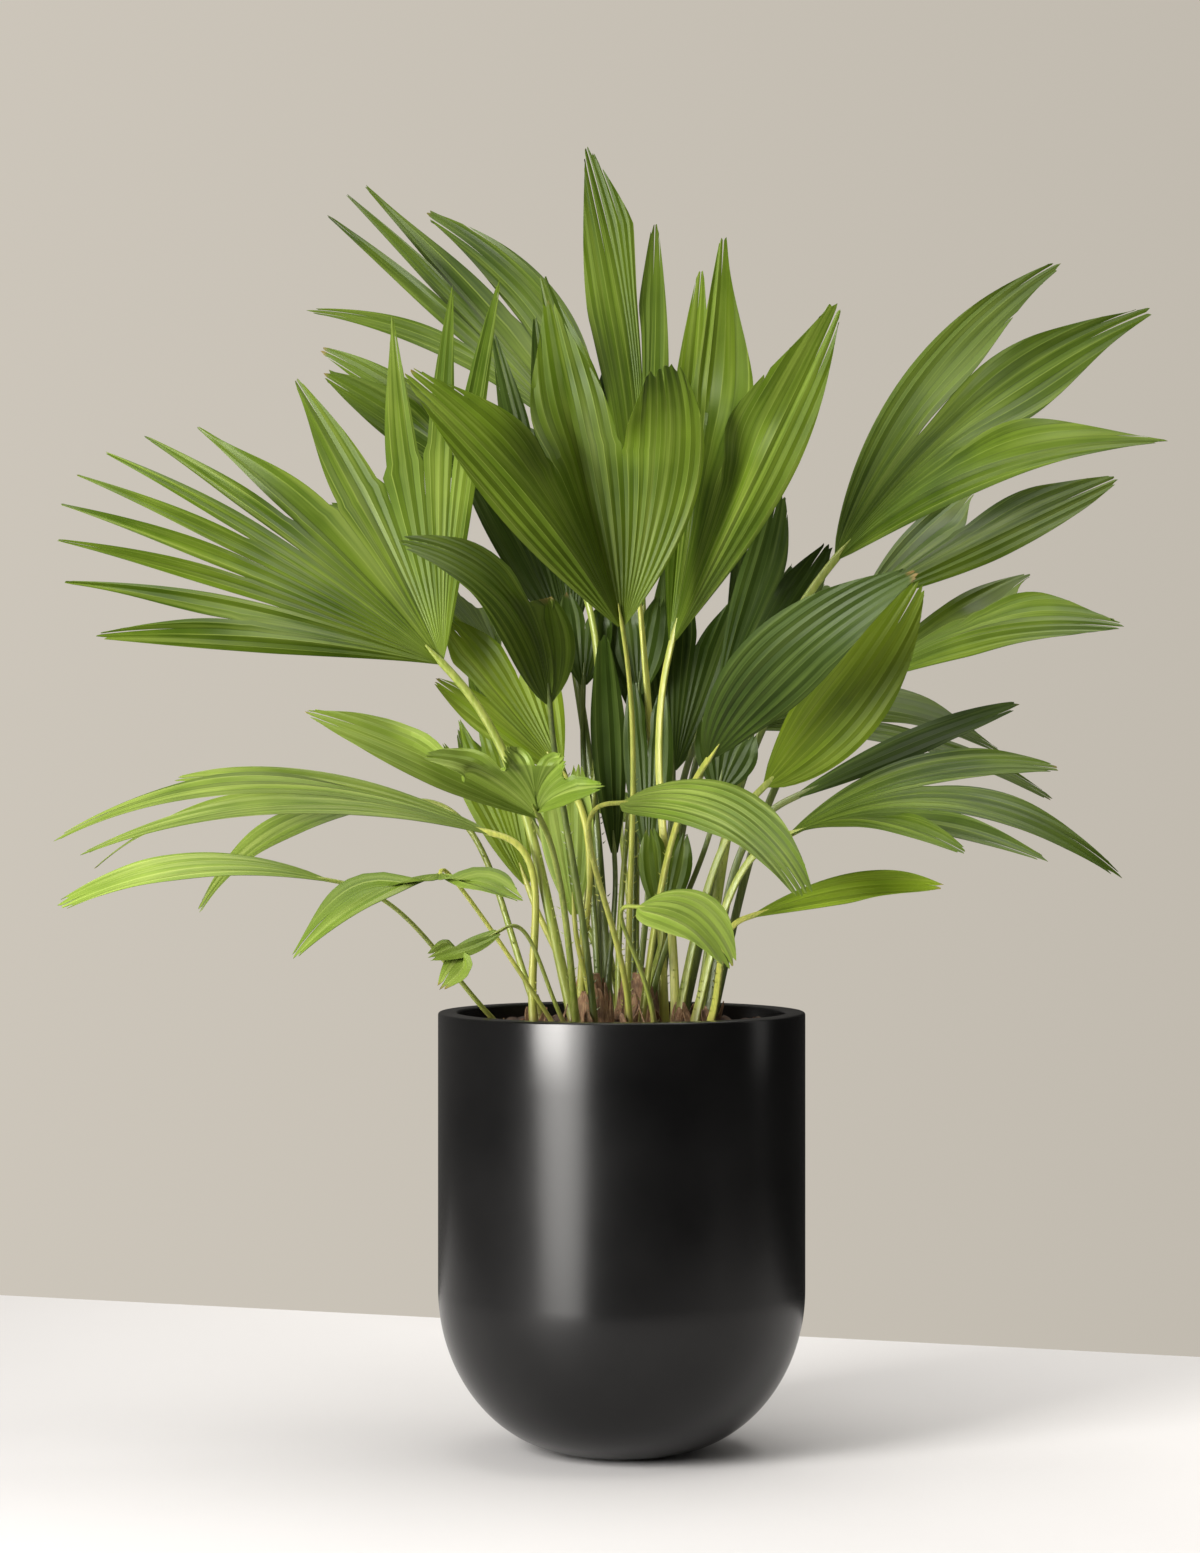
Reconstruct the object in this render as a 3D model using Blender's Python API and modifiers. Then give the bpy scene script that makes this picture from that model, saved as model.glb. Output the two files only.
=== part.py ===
"""A Chinese fan palm in a black planter: pot, soil, leaf stalks and pleated fan leaves.

The pot stands on z = 0 with its axis on Z, and the plant's front is -Y. Sizes are in metres, except in the
table of fronds, which is in centimetres.
"""

import math

import bmesh
import bpy
import numpy as np

# Pot: a straight wall that turns in by a quarter ellipse to a small flat foot.
POT_RADIUS = 0.178
POT_HEIGHT = 0.426
POT_WALL = 0.019
POT_FOOT = 0.040
POT_CORNER = 0.158
POT_FLOOR = 0.024
RIM_ROUND = 0.0025
TURN_STEPS = 26
CORNER_STEPS = 8
INSIDE_STEPS = 5
HOLLOW_FOOT = 0.7 * POT_FOOT

# Soil fills the pot to a little under the rim.
SOIL_TOP = 0.413
GAP = 0.0003

# Where the plant is looked at from. Points of the table are read in the upright plane through the pot's
# axis, as they look from this eye, and each is then moved along its line of sight to its own depth.
EYE = np.array([-0.021, -3.70, 0.654])

# Leaf stalks: straight for a short way at the foot and at the blade, and one curve between, whose two
# handles are these shares of its span.
STALK_POINTS = 6
STALK_UPRIGHT = 0.008
STALK_LAST = 0.012
STALK_HANDLES = (0.42, 0.32)

# A sheath, the cone that the stalks of a group grow from: its top radius as a share of the one at the soil,
# its height, and how far a stalk runs on into its blade where the two are one body. The back one's place on
# the soil and its radius there are in centimetres, as the groups' are in the table.
SHEATH_TAPER = 0.4
SHEATH_HEIGHT = 0.05
STALK_SUNK = 0.004
BACK_SHEATH = ((1.8, 9.8), 3.0)

# Blades: rows of points out to the split and past it, the thickness as a part of the longest finger, the
# height of a pleat as a share of its width, and where along a finger it curves most.
HUB_WIDTH = 0.007
ROWS_JOINED = 2
ROWS_FREE = 3
BLADE_PART = 1 / 95
PLEAT_SHARE = 0.24
CURVE_PLACE = 0.55

# Past the split a finger's edge leaves its neighbour's: half the slit between them once it is open, how much
# of the free part it opens over, how much the edge takes to turn to the finger's own side and to reach the
# finger's own width, and the least half width of a finger.
HALF_SLIT = 0.0035
SLIT_OPENS = 0.3
EDGE_TURNS = 0.6
EDGE_NARROWS = 0.95
LEAST_HALF = 0.0008


def lobe(tip, half, folds=3, arch=0.0, bend=0.0, widest=0.5, blunt=0.2, notch=0.05):
    """One finger of a fan: its tip, half its width, its folds, and how it curves.

    arch lifts its middle off the chord towards the face, and bend pushes it sideways, to the right of one
    who looks along it from above. Both are shares of its length.
    """
    return dict(
        tip=tip, half=half, folds=folds, arch=arch, bend=bend, widest=widest, blunt=blunt, notch=notch
    )


def fan(first, middle, last, count, half, folds=1, arch=0.0, bend=0.0, blunt=0.12, widest=0.45):
    """Even fingers whose tips lie on the curve from first through middle to last."""
    ends = [np.array(p, float) for p in (first, middle, last)]
    fingers = []
    for i in range(count):
        s = i / (count - 1)
        pull = 2 * ends[1] - 0.5 * (ends[0] + ends[2])
        tip = (1 - s) ** 2 * ends[0] + 2 * s * (1 - s) * pull + s * s * ends[2]
        fingers.append(lobe(tuple(tip), half, folds, arch, bend, widest, blunt))
    return fingers


def frond(foot, hub, face, lobes, split=0.45, stalk=(0.45, 0.33), upright=0.45, tone="mid"):
    """A leaf: the foot of its stalk on the soil, the hub of its blade, the way its face looks, its fingers.

    split is the share of the blade's length that is webbed, stalk holds the stalk's radius at foot and hub,
    upright is how much of the stalk's first direction is straight up.
    """
    return dict(
        foot=foot, hub=hub, face=face, lobes=lobes, split=split, stalk=stalk, upright=upright, tone=tone
    )


FRONDS = [
    # Centre front, upright, its under face to the front
    frond((0.5, -5), (0, -11, 80), (0, -1, 0.15), [
        lobe((-21, -25, 105), 3.5, 3, arch=0.06, bend=0.04),
        lobe((-7.2, -14, 112), 3.0, 3, bend=-0.01),
        lobe((3.6, -22, 105.5), 3.5, 3, arch=-0.12, bend=0.06, blunt=0.45, widest=0.58),
    ], split=0.5),
    # Right of the centre, upright
    frond((5.2, -0.5), (4.9, -3, 78.6), (0.2, -1, 0.1), [
        lobe((8, 2, 115), 1.7, 2),
        lobe((10, -5, 118.5), 1.8, 2, bend=0.02),
        lobe((20.9, -18, 111.7), 3.2, 3, arch=0.06, bend=-0.01, widest=0.55),
    ], split=0.4),
    # The tallest, behind them
    frond((4.2, 3), (1.8, 3, 82), (0, -1, 0.15), [
        lobe((-7.6, 6, 114.6), 1.7, 2),
        lobe((-3.6, 9, 127), 3.6, 4, arch=-0.05, bend=0.045, widest=0.58, blunt=0.12),
        lobe((3.0, 12, 119.5), 1.8, 2),
    ], split=0.45),
    # The wide fan on the left, of many narrow fingers
    frond((-4.6, -7), (-17.5, -8, 76.5), (0.1, -1, 0.25), [
        lobe((-51.4, -26, 79.2), 1.5, 1, arch=0.05, bend=0.02, widest=0.55),
        *fan((-54.6, -23, 84.5), (-53.5, -15, 95), (-41.6, -5, 99.6), 7, 1.0, arch=0.03, bend=0.025),
        lobe((-31.9, -2, 104.2), 1.8, 1, bend=0.02),
        *fan((-22.4, 0, 110.3), (-16.5, 1, 113.4), (-11.9, 1, 114), 3, 1.3, 1, bend=-0.02),
    ], split=0.42, stalk=(0.6, 0.4), upright=0.3),
    # Dark and folded, arching to the left
    frond((-2.7, -9), (-7.0, -17, 72.5), (0.2, -0.8, 0.6), [
        lobe((-21.9, -31, 88.3), 3.7, 3, arch=0.13, bend=0.09, widest=0.45),
        lobe((-7.4, -21, 82.6), 1.9, 2, arch=0.04, bend=0.04),
    ], split=0.6, tone="dark"),
    # Dark fan behind the centre
    frond((-1.2, 5.4), (-5.0, 7, 78.5), (0, -1, 0.1), [
        *fan((-17, 9, 100), (-12.5, 11, 109), (-8.6, 10, 110.6), 3, 1.7, 2),
        lobe((-1.5, 10, 106), 1.8, 2),
    ], split=0.45, stalk=(0.75, 0.45), tone="dark"),
    # High on the right, three long fingers
    frond((7.6, 1), (20.9, 0, 86.7), (-0.1, -1, 0.35), [
        lobe((43.2, 14, 115.3), 2.3, 2, arch=0.05, bend=-0.07, widest=0.45),
        lobe((51.9, -4, 110.8), 2.6, 3, arch=0.05, bend=-0.06, widest=0.55),
        lobe((53.2, -22, 98.1), 2.3, 2, arch=0.1, bend=-0.06, widest=0.45, blunt=0.1),
    ], split=0.34, stalk=(0.55, 0.4)),
    # Behind and under it
    frond((6.2, 5), (23.6, 8, 82.6), (-0.1, -1, 0.5), [
        lobe((34.4, 22, 93), 1.5, 2, arch=0.05),
        lobe((48.3, 14, 94.6), 2.6, 3, arch=0.05, bend=0.01),
    ], split=0.4),
    # Lower on the right, broad and dark
    frond((9, 4), (24, 6, 74.8), (0, -0.75, 0.7), [
        lobe((40, 16, 85), 1.5, 2, arch=0.06),
        lobe((49, -4, 80), 3.2, 3, arch=0.12, bend=-0.02, blunt=0.15),
    ], split=0.4, tone="dark"),
    # Folded pair at the right front: the left one
    frond((1.8, -7.5), (8.5, -15, 67.2), (0.35, -0.9, 0.3), [
        lobe((29.1, -31, 85.5), 3.5, 4, arch=0.07, bend=-0.075, widest=0.42, blunt=0.15),
    ], split=0.5, tone="light"),
    # and the right one
    frond((5.4, -4), (14.0, -8, 64.6), (0.1, -0.9, 0.3), [
        lobe((29.3, -20, 84.8), 3.6, 4, arch=0.07, bend=0.05, widest=0.45, blunt=0.15),
    ], split=0.5),
    # Front, hanging to the right over the stalks
    frond((0.6, -9), (0.0, -22, 62.9), (0.1, -0.65, 0.75), [
        lobe((18.1, -36, 53.4), 3.5, 4, arch=0.16, bend=-0.06, widest=0.36, blunt=0.25),
    ], split=0.5, stalk=(0.45, 0.3), upright=0.6, tone="light"),
    # Front, a flat fan over the left stalks
    frond((-4.4, -10.5), (-8.1, -23, 61.6), (-0.1, -0.85, 0.5), [
        lobe((-31.2, -34, 72), 2.4, 1, arch=0.03, bend=0.02, blunt=0.12),
        lobe((-19.5, -34, 67.4), 1.9, 1, arch=0.08, bend=0.05),
        lobe((-11.6, -31, 68.1), 2.0, 1, arch=0.1, blunt=0.35),
        lobe((-5.2, -31, 67.2), 1.9, 1, arch=0.12, bend=0.02, blunt=0.35),
        lobe((-1.4, -33, 64.2), 1.5, 1, arch=0.1, bend=0.03),
    ], split=0.55),
    # Small and low at the front
    frond((2.9, -11), (1.7, -20, 52.8), (0.1, -0.8, 0.6), [
        lobe((10.8, -30, 46.6), 2.8, 3, arch=0.14, bend=-0.07, blunt=0.2, widest=0.38),
    ], split=0.5, stalk=(0.35, 0.25), upright=0.55, tone="light"),
    # Right, one long level finger
    frond((8.3, -1.5), (17.2, -3, 63.6), (0, -0.7, 0.7), [
        lobe((38.8, -8, 72.5), 1.5, 3, arch=0.03),
    ], split=0.5, tone="dark"),
    # Right, lower
    frond((7, -5.5), (16.3, -10, 59.8), (0, -0.65, 0.75), [
        lobe((42.7, -12, 66), 2.5, 3, arch=0.1, bend=-0.04),
        lobe((48.9, -21, 55.2), 2.0, 2, arch=0.18, bend=-0.04),
        lobe((41.7, -31, 57.1), 1.5, 2, arch=0.1),
        lobe((33.8, -33, 58.0), 1.9, 2, arch=0.1),
    ], split=0.35),
    # Right, lowest
    frond((8.4, -8), (13.0, -15, 52.0), (0, -0.7, 0.7), [
        lobe((31.6, -27, 54.7), 1.8, 3, arch=0.05, bend=-0.03, blunt=0.12),
    ], split=0.5, stalk=(0.4, 0.28), upright=0.05, tone="light"),
    # Left, low, long pale fingers
    frond((-8.4, -7.4), (-13, -9, 60), (0, -0.6, 0.8), [
        lobe((-53, -24, 57.7), 1.3, 1, arch=0.1, bend=0.02),
        lobe((-55.5, -11, 58.9), 1.5, 1, arch=0.14, bend=0.02),
        lobe((-43.8, 1, 65), 1.6, 1, arch=0.06, bend=0.02),
    ], split=0.2, tone="light"),
    # Left, one blunt leaf on a thin stalk
    frond((-12, -8.5), (-28.7, -23, 55.4), (0, -0.5, 0.85), [
        lobe((-55.2, -34, 52.4), 1.9, 3, arch=0.12, blunt=0.4),
    ], split=0.5, stalk=(0.25, 0.2), upright=0.1, tone="light"),
    # Left, hanging at the back
    frond((-8, 1), (-21.5, 5, 63), (0, -0.5, 0.85), [
        lobe((-41.3, 4, 51.8), 1.9, 2, arch=0.18, blunt=0.25),
        lobe((-51.5, 16, 56), 1.1, 1, arch=0.12),
    ], split=0.3, stalk=(0.35, 0.28), upright=0.25, tone="light"),
    # Left front, a small hanging pair
    frond((-6.5, -11.5), (-17.6, -20, 56), (0, -0.6, 0.8), [
        lobe((-32.4, -30, 47.3), 1.5, 1, arch=0.12, bend=0.02),
        lobe((-9.3, -27, 53.3), 1.4, 1, arch=0.05),
    ], split=0.25, stalk=(0.25, 0.2), upright=0.1, tone="light"),
    # Left front, the smallest
    frond((-5.4, -12.8), (-12, -18, 50.3), (-0.1, -0.9, 0.4), [
        lobe((-19.2, -23, 47.8), 1.2, 1, arch=0.05),
        lobe((-17.7, -24, 44.4), 1.5, 1, arch=0.05),
    ], split=0.45, stalk=(0.25, 0.2), upright=0.1, tone="light"),
    # Left of the centre, striped, behind the wide fan
    frond((-3.6, 3), (-9.8, 5, 92), (0, -1, 0.2), [
        lobe((-29, 4, 104.8), 2.3, 3, bend=0.02),
        lobe((-29.7, 12, 106.9), 1.7, 2, bend=0.05),
    ], split=0.3),
]

# These grow from one sheath at the back.
BACK_FRONDS = [
    # Upper left, narrow fingers over a broad one
    frond((-0.2, 9.2), (-3.0, 15, 97), (0, -1, 0.25), [
        lobe((-30.8, 20, 110.8), 1.2, 1, arch=-0.05, bend=0.12),
        *fan((-28.9, 24, 120.3), (-27.2, 26, 122.4), (-25.4, 28, 123.2), 3, 1.0, 1, arch=-0.06, bend=0.03),
        lobe((-19.6, 30, 120.2), 2.3, 2, arch=-0.06, bend=0.13),
    ], split=0.35),
    # Right, inside, two dark leaves
    frond((3.7, 8.7), (9.7, 6, 73.8), (0, -1, 0.1), [
        lobe((15.7, 9, 93.3), 2.1, 2, bend=0.03),
        lobe((20.1, 5, 88.3), 2.2, 2, bend=0.02),
    ], split=0.5, tone="dark"),
    # Right of the centre, inside, dark and upright
    frond((2.8, 8.2), (5.0, 8, 66), (0, -1, 0.1), [
        lobe((-1.5, 8, 85), 2.2, 2),
        lobe((5, 8.5, 88), 2.4, 2),
        lobe((11, 9.5, 83), 2.2, 2),
    ], split=0.6, tone="dark"),
    # Straight back, upright
    frond((1.6, 10), (1, 20, 86), (0, -0.5, 0.85), [
        lobe((-14, 33, 101), 2.6, 2, arch=0.08),
        lobe((-6, 40, 104), 2.6, 2, arch=0.1),
        lobe((3, 42, 104), 2.6, 2, arch=0.1),
        lobe((11, 36, 97), 2.6, 2, arch=0.08),
    ], split=0.5),
    # Back right, a full fan that reaches round to the side
    frond((3.3, 10.8), (12, 18, 70), (0.1, -0.5, 0.85), [
        lobe((10, 47, 80), 2.5, 2, arch=0.1),
        lobe((20, 44, 84), 2.5, 2, arch=0.12),
        lobe((30, 33, 80), 2.4, 1, arch=0.12),
        lobe((37, 14, 67.6), 2.2, 1, arch=0.14),
        lobe((42, 7, 63), 1.8, 1, arch=0.1),
    ], split=0.4),
    # Back left
    frond((0, 10.9), (-12, 18, 77), (-0.4, -0.4, 0.8), [
        lobe((-31, 18, 90), 2.4, 2, arch=0.1),
        lobe((-29, 32, 92), 2.4, 2, arch=0.12),
        lobe((-22, 43, 88), 2.4, 2, arch=0.12),
        lobe((-13, 46, 80), 2.3, 2, arch=0.12),
    ], split=0.45),
    # Straight back, low
    frond((1.8, 12), (0, 17, 61), (0, -0.2, 1), [
        lobe((-13, 33, 62), 2.2, 2, arch=0.14),
        lobe((0, 39, 61), 2.4, 2, arch=0.14),
        lobe((13, 34, 61), 2.2, 2, arch=0.14),
    ], split=0.45, tone="light"),
    # Right side, inside, upright and turned to the right
    frond((3.9, 9.6), (10, 12, 76), (1, -0.1, 0.25), [
        lobe((12.3, 17, 96.5), 2.2, 2),
        lobe((14.6, 27, 94), 2.3, 2, arch=0.04),
        lobe((16.5, 34, 86), 2.3, 2, arch=0.06),
    ], split=0.45, tone="dark"),
    # Left side, inside, turned to the left
    frond((-0.6, 9.6), (-8, 12, 60), (-1, -0.2, 0.35), [
        lobe((-12.3, 12, 80), 2.0, 2),
        lobe((-15, 20, 78), 2.1, 2, arch=0.05),
        lobe((-16, 27, 70), 2.0, 2, arch=0.08),
    ], split=0.45),
]

# Groups of smaller leaves. The leaves of a group grow from one sheath and are one body with it. A group holds
# the sheath's place on the soil, its radius there, and its leaves.
GROUPS = {
    "fronds_inner_left": ((-3.0, -0.4), 2.1, [
        # Broad and pale, behind the front fan
        frond((-3.9, -1.4), (-6, -3, 66), (0, -1, 0.2), [
            lobe((-18.3, -3, 75.2), 1.6, 1, bend=0.01),
            lobe((-17.3, -1, 81), 2.7, 2, bend=0.01, widest=0.55),
            lobe((-9.2, -1, 80.5), 1.8, 1, bend=-0.02),
        ], split=0.55, tone="light"),
        # Low and pale, cut into short teeth
        frond((-4.2, 0.7), (-9.2, 1, 55), (0, -1, 0.2), [
            *fan((-17.2, 4, 69), (-15, 5, 71.8), (-12.2, 5, 71.4), 4, 1.0, 1, blunt=0.1),
        ], split=0.72, stalk=(0.35, 0.28), tone="light"),
        # Dark, under the centre leaf
        frond((-2.2, 0.9), (-3.7, 4, 74.3), (0.1, -1, 0.1), [
            lobe((-5.2, 5, 83.4), 1.5, 1),
            lobe((-1.9, 5, 82.4), 1.4, 1),
        ], split=0.6, stalk=(0.35, 0.28), tone="dark"),
        # Long and dark between the stalks
        frond((-1.6, 0.0), (-0.7, 1.2, 58), (0.2, -1, 0.05), [
            lobe((-1.8, 2.6, 79.5), 1.4, 1),
        ], split=0.5, stalk=(0.35, 0.28), tone="dark"),
        # Low and pale between the stalks
        frond((-2.8, -1.6), (-4.6, -3, 52), (0, -1, 0.1), [
            lobe((-7.2, -3, 66), 1.5, 1),
            lobe((-4.4, -3, 67), 1.4, 1),
        ], split=0.6, stalk=(0.3, 0.25), tone="light"),
    ]),
    "fronds_inner_right": ((1.7, 1.0), 1.5, [
        # Dark, under the leaf right of the centre
        frond((1.1, 1.7), (1.7, 5, 73.4), (0, -1, 0.1), [
            lobe((0.4, 6, 83), 1.5, 1),
            lobe((3.6, 6, 83.2), 1.5, 1),
        ], split=0.6, stalk=(0.35, 0.28), tone="dark"),
        # Long and dark between the stalks
        frond((1.5, 0.8), (2.6, 0.6, 57.5), (0, -1, 0.05), [
            lobe((1.2, 1, 75), 1.3, 1),
            lobe((3.8, 0.8, 74), 1.4, 1),
        ], split=0.55, stalk=(0.35, 0.28), tone="dark"),
        # Under the folded pair
        frond((2.6, 1.2), (9.4, -0.8, 63.9), (0, -1, 0.2), [
            lobe((8.2, -1, 71.4), 1.3, 1),
            lobe((12.7, -1.6, 70), 1.6, 1),
        ], split=0.55, stalk=(0.3, 0.25), tone="dark"),
        # Low, between the stalks
        frond((2.0, -0.1), (4.0, -2.6, 51.8), (0, -1, 0.1), [
            lobe((2.9, -2.8, 60.8), 1.4, 1),
            lobe((5.9, -2.8, 60.4), 1.4, 1),
        ], split=0.6, stalk=(0.3, 0.25)),
    ]),
}


def seen(point):
    """A point of the table, in metres at its true place: across and height as seen, at its own depth."""
    across, depth, height = (0.01 * c for c in point)
    flat = np.array([across, 0.0, height])
    return EYE + (flat - EYE) * (depth - EYE[1]) / -EYE[1]


def unit(v):
    return v / np.linalg.norm(v)


def smooth(x):
    x = min(max(x, 0.0), 1.0)
    return x * x * (3 - 2 * x)


def bezier(points, t):
    """The point at t on the Bezier curve of these points, by repeated blending of neighbours."""
    points = [np.asarray(p, float) for p in points]
    while len(points) > 1:
        points = [(1 - t) * a + t * b for a, b in zip(points, points[1:])]
    return points[0]


def spread(t, widest, blunt):
    """Half a finger's width at t along it, as a share of its greatest: none at the hub, blunt at the tip."""
    last = 1 - math.asin(blunt) / math.pi
    power = math.log(0.5 / last) / math.log(widest)
    return math.sin(math.pi * last * t**power)


def finger_curve(hub, data, face):
    """The middle line of a finger as a function of t, with its length."""
    tip = seen(data["tip"])
    chord = tip - hub
    length = np.linalg.norm(chord)
    along = chord / length
    out = unit(face - along * (face @ along))
    right = np.cross(along, out)
    middle = hub + chord * CURVE_PLACE + length * (data["arch"] * 2 * out + data["bend"] * 2 * right)

    def at(t):
        return bezier((hub, middle, tip), t)

    def frame(t):
        forward = unit(at(min(t + 0.01, 1.0)) - at(min(t + 0.01, 1.0) - 0.01))
        side = unit(np.cross(face, forward))
        return side, np.cross(forward, side)

    return dict(at=at, frame=frame, length=length, **data)


def blade_axis(hub, fingers):
    """The way the stalk runs into the blade: along the mean of its fingers."""
    return unit(sum(unit(f["at"](0.3) - hub) for f in fingers))


def blade_grid(hub, face, fingers, split):
    """Points and faces of the blade's middle surface, row by row out from the hub.

    Every finger has two columns for each fold, a rib and the valley beside it. Neighbours share a column
    out to the split, and past it each edge swings in to its own finger's outline.
    """
    mean = sum(f["length"] for f in fingers) / len(fingers)
    reach = split * mean
    axis = blade_axis(hub, fingers)
    across = unit(np.cross(axis, face))
    columns = sum(2 * f["folds"] for f in fingers) + 1
    points = []
    names = {}
    faces = []

    def radius(finger, row):
        if row <= ROWS_JOINED:
            return reach * row / ROWS_JOINED / finger["length"]
        start = reach / finger["length"]
        return start + (1 - start) * (row - ROWS_JOINED) / ROWS_FREE

    def own_half(finger, t):
        return 0.01 * finger["half"] * spread(t, finger["widest"], finger["blunt"])

    def to_middle(finger, other, t):
        t_other = min(t * finger["length"] / other["length"], 1.0)
        return 0.5 * (other["at"](t_other) - finger["at"](t))

    def edge(finger, other, sign, row):
        """The vector from the finger's middle line to its edge on one side."""
        t = radius(finger, row)
        side, _ = finger["frame"](t)
        own = own_half(finger, t)
        if other is None:
            return sign * side * own
        middle = to_middle(finger, other, t)
        if row <= ROWS_JOINED:
            return middle
        free = (row - ROWS_JOINED) / ROWS_FREE
        start = reach / finger["length"]
        extra = np.linalg.norm(to_middle(finger, other, start)) - own_half(finger, start)
        room = np.linalg.norm(middle) - HALF_SLIT * min(free / SLIT_OPENS, 1.0)
        width = own + max(extra, 0.0) * (1 - smooth(free / EDGE_NARROWS))
        ease = smooth(free / EDGE_TURNS)
        way = unit((1 - ease) * unit(middle) + ease * sign * side)
        return way * min(width, max(room, LEAST_HALF))

    first = 0
    for k, finger in enumerate(fingers):
        before = fingers[k - 1] if k else None
        after = fingers[k + 1] if k + 1 < len(fingers) else None
        count = 2 * finger["folds"]
        for row in range(ROWS_JOINED + ROWS_FREE + 1):
            t = radius(finger, row)
            edges = edge(finger, before, 1, row), edge(finger, after, -1, row)
            side, out = finger["frame"](t)
            for j in range(count + 1):
                is_shared = row <= ROWS_JOINED and ((j == 0 and before) or (j == count and after))
                key = (row, first + j) if is_shared else (row, first + j, k)
                if key not in names:
                    v = 1 - 2 * j / count
                    reach_t = t
                    if row == ROWS_JOINED + ROWS_FREE:
                        reach_t = 1 - finger["notch"] * (1 if j % 2 == 0 else abs(v)) * (1 + abs(v)) / 2
                    offset = edges[0] * v if v > 0 else edges[1] * -v
                    fold = PLEAT_SHARE * np.linalg.norm(edges[0] - edges[1]) / finger["folds"]
                    lift = fold * (0.5 if j % 2 else -0.5) * min(1.0, row / ROWS_JOINED)
                    root = across * HUB_WIDTH * (0.5 - (first + j) / (columns - 1))
                    names[key] = len(points)
                    points.append(finger["at"](reach_t) + offset + out * lift - root)
        for row in range(ROWS_JOINED + ROWS_FREE):
            for j in range(count):
                corners = []
                for r, c in ((row, j), (row, j + 1), (row + 1, j + 1), (row + 1, j)):
                    key = (r, first + c)
                    corners.append(names[key] if key in names else names[(r, first + c, k)])
                faces.append(corners)
        first += count
    return points, faces


def finish(name, colour, roughness, metallic=0.0):
    """A plain material with this colour and roughness."""
    material = bpy.data.materials.new(name + "_finish")
    material.use_nodes = True
    shader = material.node_tree.nodes["Principled BSDF"]
    shader.inputs["Base Color"].default_value = (*colour, 1)
    shader.inputs["Roughness"].default_value = roughness
    shader.inputs["Metallic"].default_value = metallic
    material.diffuse_color = (*colour, 1)
    return material


def add(name, data, colour, roughness, parts):
    """An object of the palm, in its collection and with its own material."""
    thing = bpy.data.objects.new(name, data)
    data.materials.append(finish(name, colour, roughness))
    parts.objects.link(thing)
    return thing


def turned(name, profile, colour, roughness, parts):
    """A solid of revolution from the (radius, height) points that run down its outer side."""
    data = bpy.data.meshes.new(name)
    data.from_pydata([(r, 0, z) for r, z in profile], [(i, i + 1) for i in range(len(profile) - 1)], [])
    thing = add(name, data, colour, roughness, parts)
    screw = thing.modifiers.new("turn", "SCREW")
    screw.steps = screw.render_steps = TURN_STEPS
    screw.use_merge_vertices = True
    screw.merge_threshold = 0.0001
    screw.use_smooth_shade = True
    return thing


def corner(radius_foot, radius_wall, bottom, top, steps):
    """The quarter ellipse from the wall down to the foot, as (radius, height) points without its first."""
    points = []
    for i in range(1, steps + 1):
        a = math.pi / 2 * i / steps
        r = radius_foot + (radius_wall - radius_foot) * math.cos(a)
        points.append((r, top - (top - bottom) * math.sin(a)))
    return points


def add_pot(parts):
    """A shell with a flat rim, a rounded foot and a flat underside."""
    inner = POT_RADIUS - POT_WALL
    profile = [
        (POT_RADIUS - RIM_ROUND, POT_HEIGHT),
        (POT_RADIUS, POT_HEIGHT - RIM_ROUND),
        (POT_RADIUS, POT_CORNER),
        *corner(POT_FOOT, POT_RADIUS, 0.0, POT_CORNER, CORNER_STEPS),
        (0.0, 0.0),
    ]
    inside = [
        (0.0, POT_FLOOR),
        *reversed(corner(HOLLOW_FOOT, inner, POT_FLOOR, POT_CORNER, INSIDE_STEPS)),
        (inner, POT_CORNER),
        (inner, POT_HEIGHT - RIM_ROUND),
        (inner + RIM_ROUND, POT_HEIGHT),
        (POT_RADIUS - RIM_ROUND, POT_HEIGHT),
    ]
    turned("pot", profile + inside, (0.012, 0.012, 0.013), 0.35, parts)


def add_soil(parts):
    """The fill, clear of the pot by the gap all round."""
    inner = POT_RADIUS - POT_WALL - 2 * GAP
    floor = POT_FLOOR + GAP
    profile = [
        (0.0, SOIL_TOP),
        (inner, SOIL_TOP),
        (inner, POT_CORNER),
        *corner(HOLLOW_FOOT - GAP, inner, floor, POT_CORNER, INSIDE_STEPS),
        (0.0, floor),
    ]
    turned("soil", profile, (0.05, 0.025, 0.012), 0.95, parts)


LEAF_TONES = {"light": (0.22, 0.30, 0.05), "mid": (0.11, 0.19, 0.025), "dark": (0.05, 0.095, 0.018)}
STALK_COLOUR = (0.30, 0.34, 0.09)


def add_blade(name, data, parts):
    """The blade, and where a loose stalk ends: clear of the blade's thick inner edge, along its axis."""
    hub = seen(data["hub"])
    face = unit(np.array(data["face"], float))
    fingers = [finger_curve(hub, f, face) for f in data["lobes"]]
    points, faces = blade_grid(hub, face, fingers, data["split"])
    mesh = bpy.data.meshes.new(name)
    mesh.from_pydata(points, [], faces)
    mesh.update()
    mesh.shade_smooth()
    thing = add(name, mesh, LEAF_TONES[data["tone"]], 0.45, parts)
    shell = thing.modifiers.new("thickness", "SOLIDIFY")
    shell.thickness = BLADE_PART * max(f["length"] for f in fingers)
    shell.offset = 0.0
    axis = blade_axis(hub, fingers)
    inner_edge = [v.normal for v in mesh.vertices if abs((np.array(v.co) - hub) @ axis) < HUB_WIDTH / 2]
    back = shell.thickness / 2 * max(abs(np.array(n) @ axis) for n in inner_edge)
    return thing, hub - axis * (back + GAP), axis


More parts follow.
